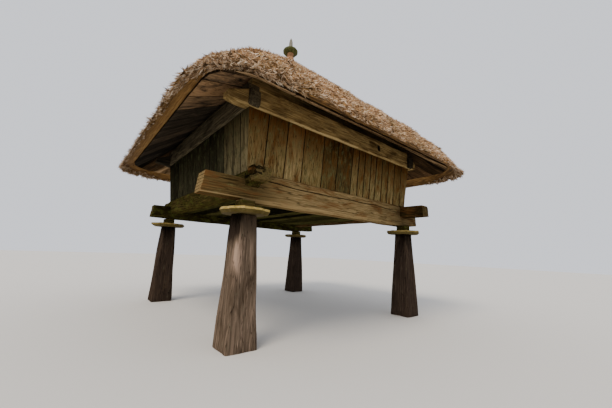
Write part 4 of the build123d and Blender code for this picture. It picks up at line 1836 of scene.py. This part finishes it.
        mixed = new(
            "ShaderNodeMix",
            {"data_type": "FLOAT", 0: self.straw_share},
            {2: tuft_tone.outputs[0], 3: shade.outputs[0]},
        )
        final = new(
            "GeometryNodeStoreNamedAttribute",
            {"data_type": "FLOAT", "domain": "POINT", "Name": "tone"},
            {"Geometry": real.outputs[0], "Value": mixed.outputs[0]},
        )
        new("NodeGroupOutput", {}, {0: final.outputs[0]})
        return tree


@dataclass
class Studio:
    """Pale floor, soft light and the camera of the photograph."""

    floor_colour: str = "cfccc6"
    floor_roughness: float = 0.9
    floor_half: float = 60.0
    sky_colour: str = "dfe2ea"
    sky_strength: float = 1.35
    sun_colour: str = "fff3e2"
    sun_strength: float = 2.6
    sun_spread: float = 25.0
    sun_side: Triple = (-0.7, -0.3, 0.95)
    camera_place: Triple = (-4.841, -7.065, 1.6)
    heading: float = 0.686
    rise: float = 0.169
    roll: float = 0.04
    lens: float = 16.57
    sensor: float = 36.0

    def build(self) -> None:
        """Builds floor, lights and camera."""
        self.floor()
        self.lights()
        self.camera()

    def floor(self) -> None:
        """Lays a plain pale floor."""
        material = bpy.data.materials.new("pale studio floor")
        material.use_nodes = True
        shader = material.node_tree.nodes["Principled BSDF"]
        shader.inputs["Base Color"].default_value = linear(self.floor_colour)
        shader.inputs["Roughness"].default_value = self.floor_roughness
        form = bmesh.new()
        bmesh.ops.create_grid(form, x_segments=1, y_segments=1, size=self.floor_half)
        mesh = bpy.data.meshes.new("studio_floor")
        form.to_mesh(mesh)
        form.free()
        mesh.materials.append(material)
        ground = bpy.data.objects.new("studio_floor", mesh)
        bpy.context.scene.collection.objects.link(ground)

    def lights(self) -> None:
        """Sets an even pale sky and one broad soft light."""
        world = bpy.data.worlds.new("soft studio")
        bpy.context.scene.world = world
        world.use_nodes = True
        sky = world.node_tree.nodes["Background"]
        sky.inputs["Color"].default_value = linear(self.sky_colour)
        sky.inputs["Strength"].default_value = self.sky_strength
        data = bpy.data.lights.new("key", "SUN")
        data.energy = self.sun_strength
        data.angle = math.radians(self.sun_spread)
        data.color = linear(self.sun_colour)[:3]
        key = bpy.data.objects.new("key", data)
        key.matrix_world = Vector(self.sun_side).to_track_quat("Z", "Y").to_matrix().to_4x4()
        bpy.context.scene.collection.objects.link(key)

    def camera(self) -> None:
        """Places the camera where the photograph was taken from."""
        data = bpy.data.cameras.new("photo_view")
        data.lens = self.lens
        data.sensor_width = self.sensor
        data.sensor_fit = "HORIZONTAL"
        camera = bpy.data.objects.new("photo_view", data)
        level = math.cos(self.rise)
        forward = Vector(
            (math.sin(self.heading) * level, math.cos(self.heading) * level, math.sin(self.rise))
        )
        right = Vector((math.cos(self.heading), -math.sin(self.heading), 0.0))
        up = right.cross(forward)
        turned_right = right * math.cos(self.roll) + up * math.sin(self.roll)
        turned_up = up * math.cos(self.roll) - right * math.sin(self.roll)
        place = Matrix.Identity(4)
        for column, axis in enumerate((turned_right, turned_up, -forward)):
            for row in range(3):
                place[row][column] = axis[row]
        place.translation = Vector(self.camera_place)
        camera.matrix_world = place
        bpy.context.scene.collection.objects.link(camera)
        bpy.context.scene.camera = camera


def main() -> None:
    """Builds every sub-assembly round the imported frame."""
    logging.basicConfig(level=logging.INFO, format="%(message)s")
    # Without a seed of its own, noise_vector takes one from the clock.
    noise.seed_set(NOISE_SEED)
    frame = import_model()
    finishes = {finish: finish.material() for finish in FINISHES}
    assemblies: tuple[Callable[..., Piece], ...] = (
        Pillars, Capstones, BearingBlocks, SillBeams, Floor, Walls, Plates, Eaves, RoofFrame,
        Thatch, Finial,
    )
    for assembly in assemblies:
        assembly(frame, finishes).build()
        LOG.info("%s done", assembly.__name__)
    Studio().build()


if __name__ == "__main__":
    main()
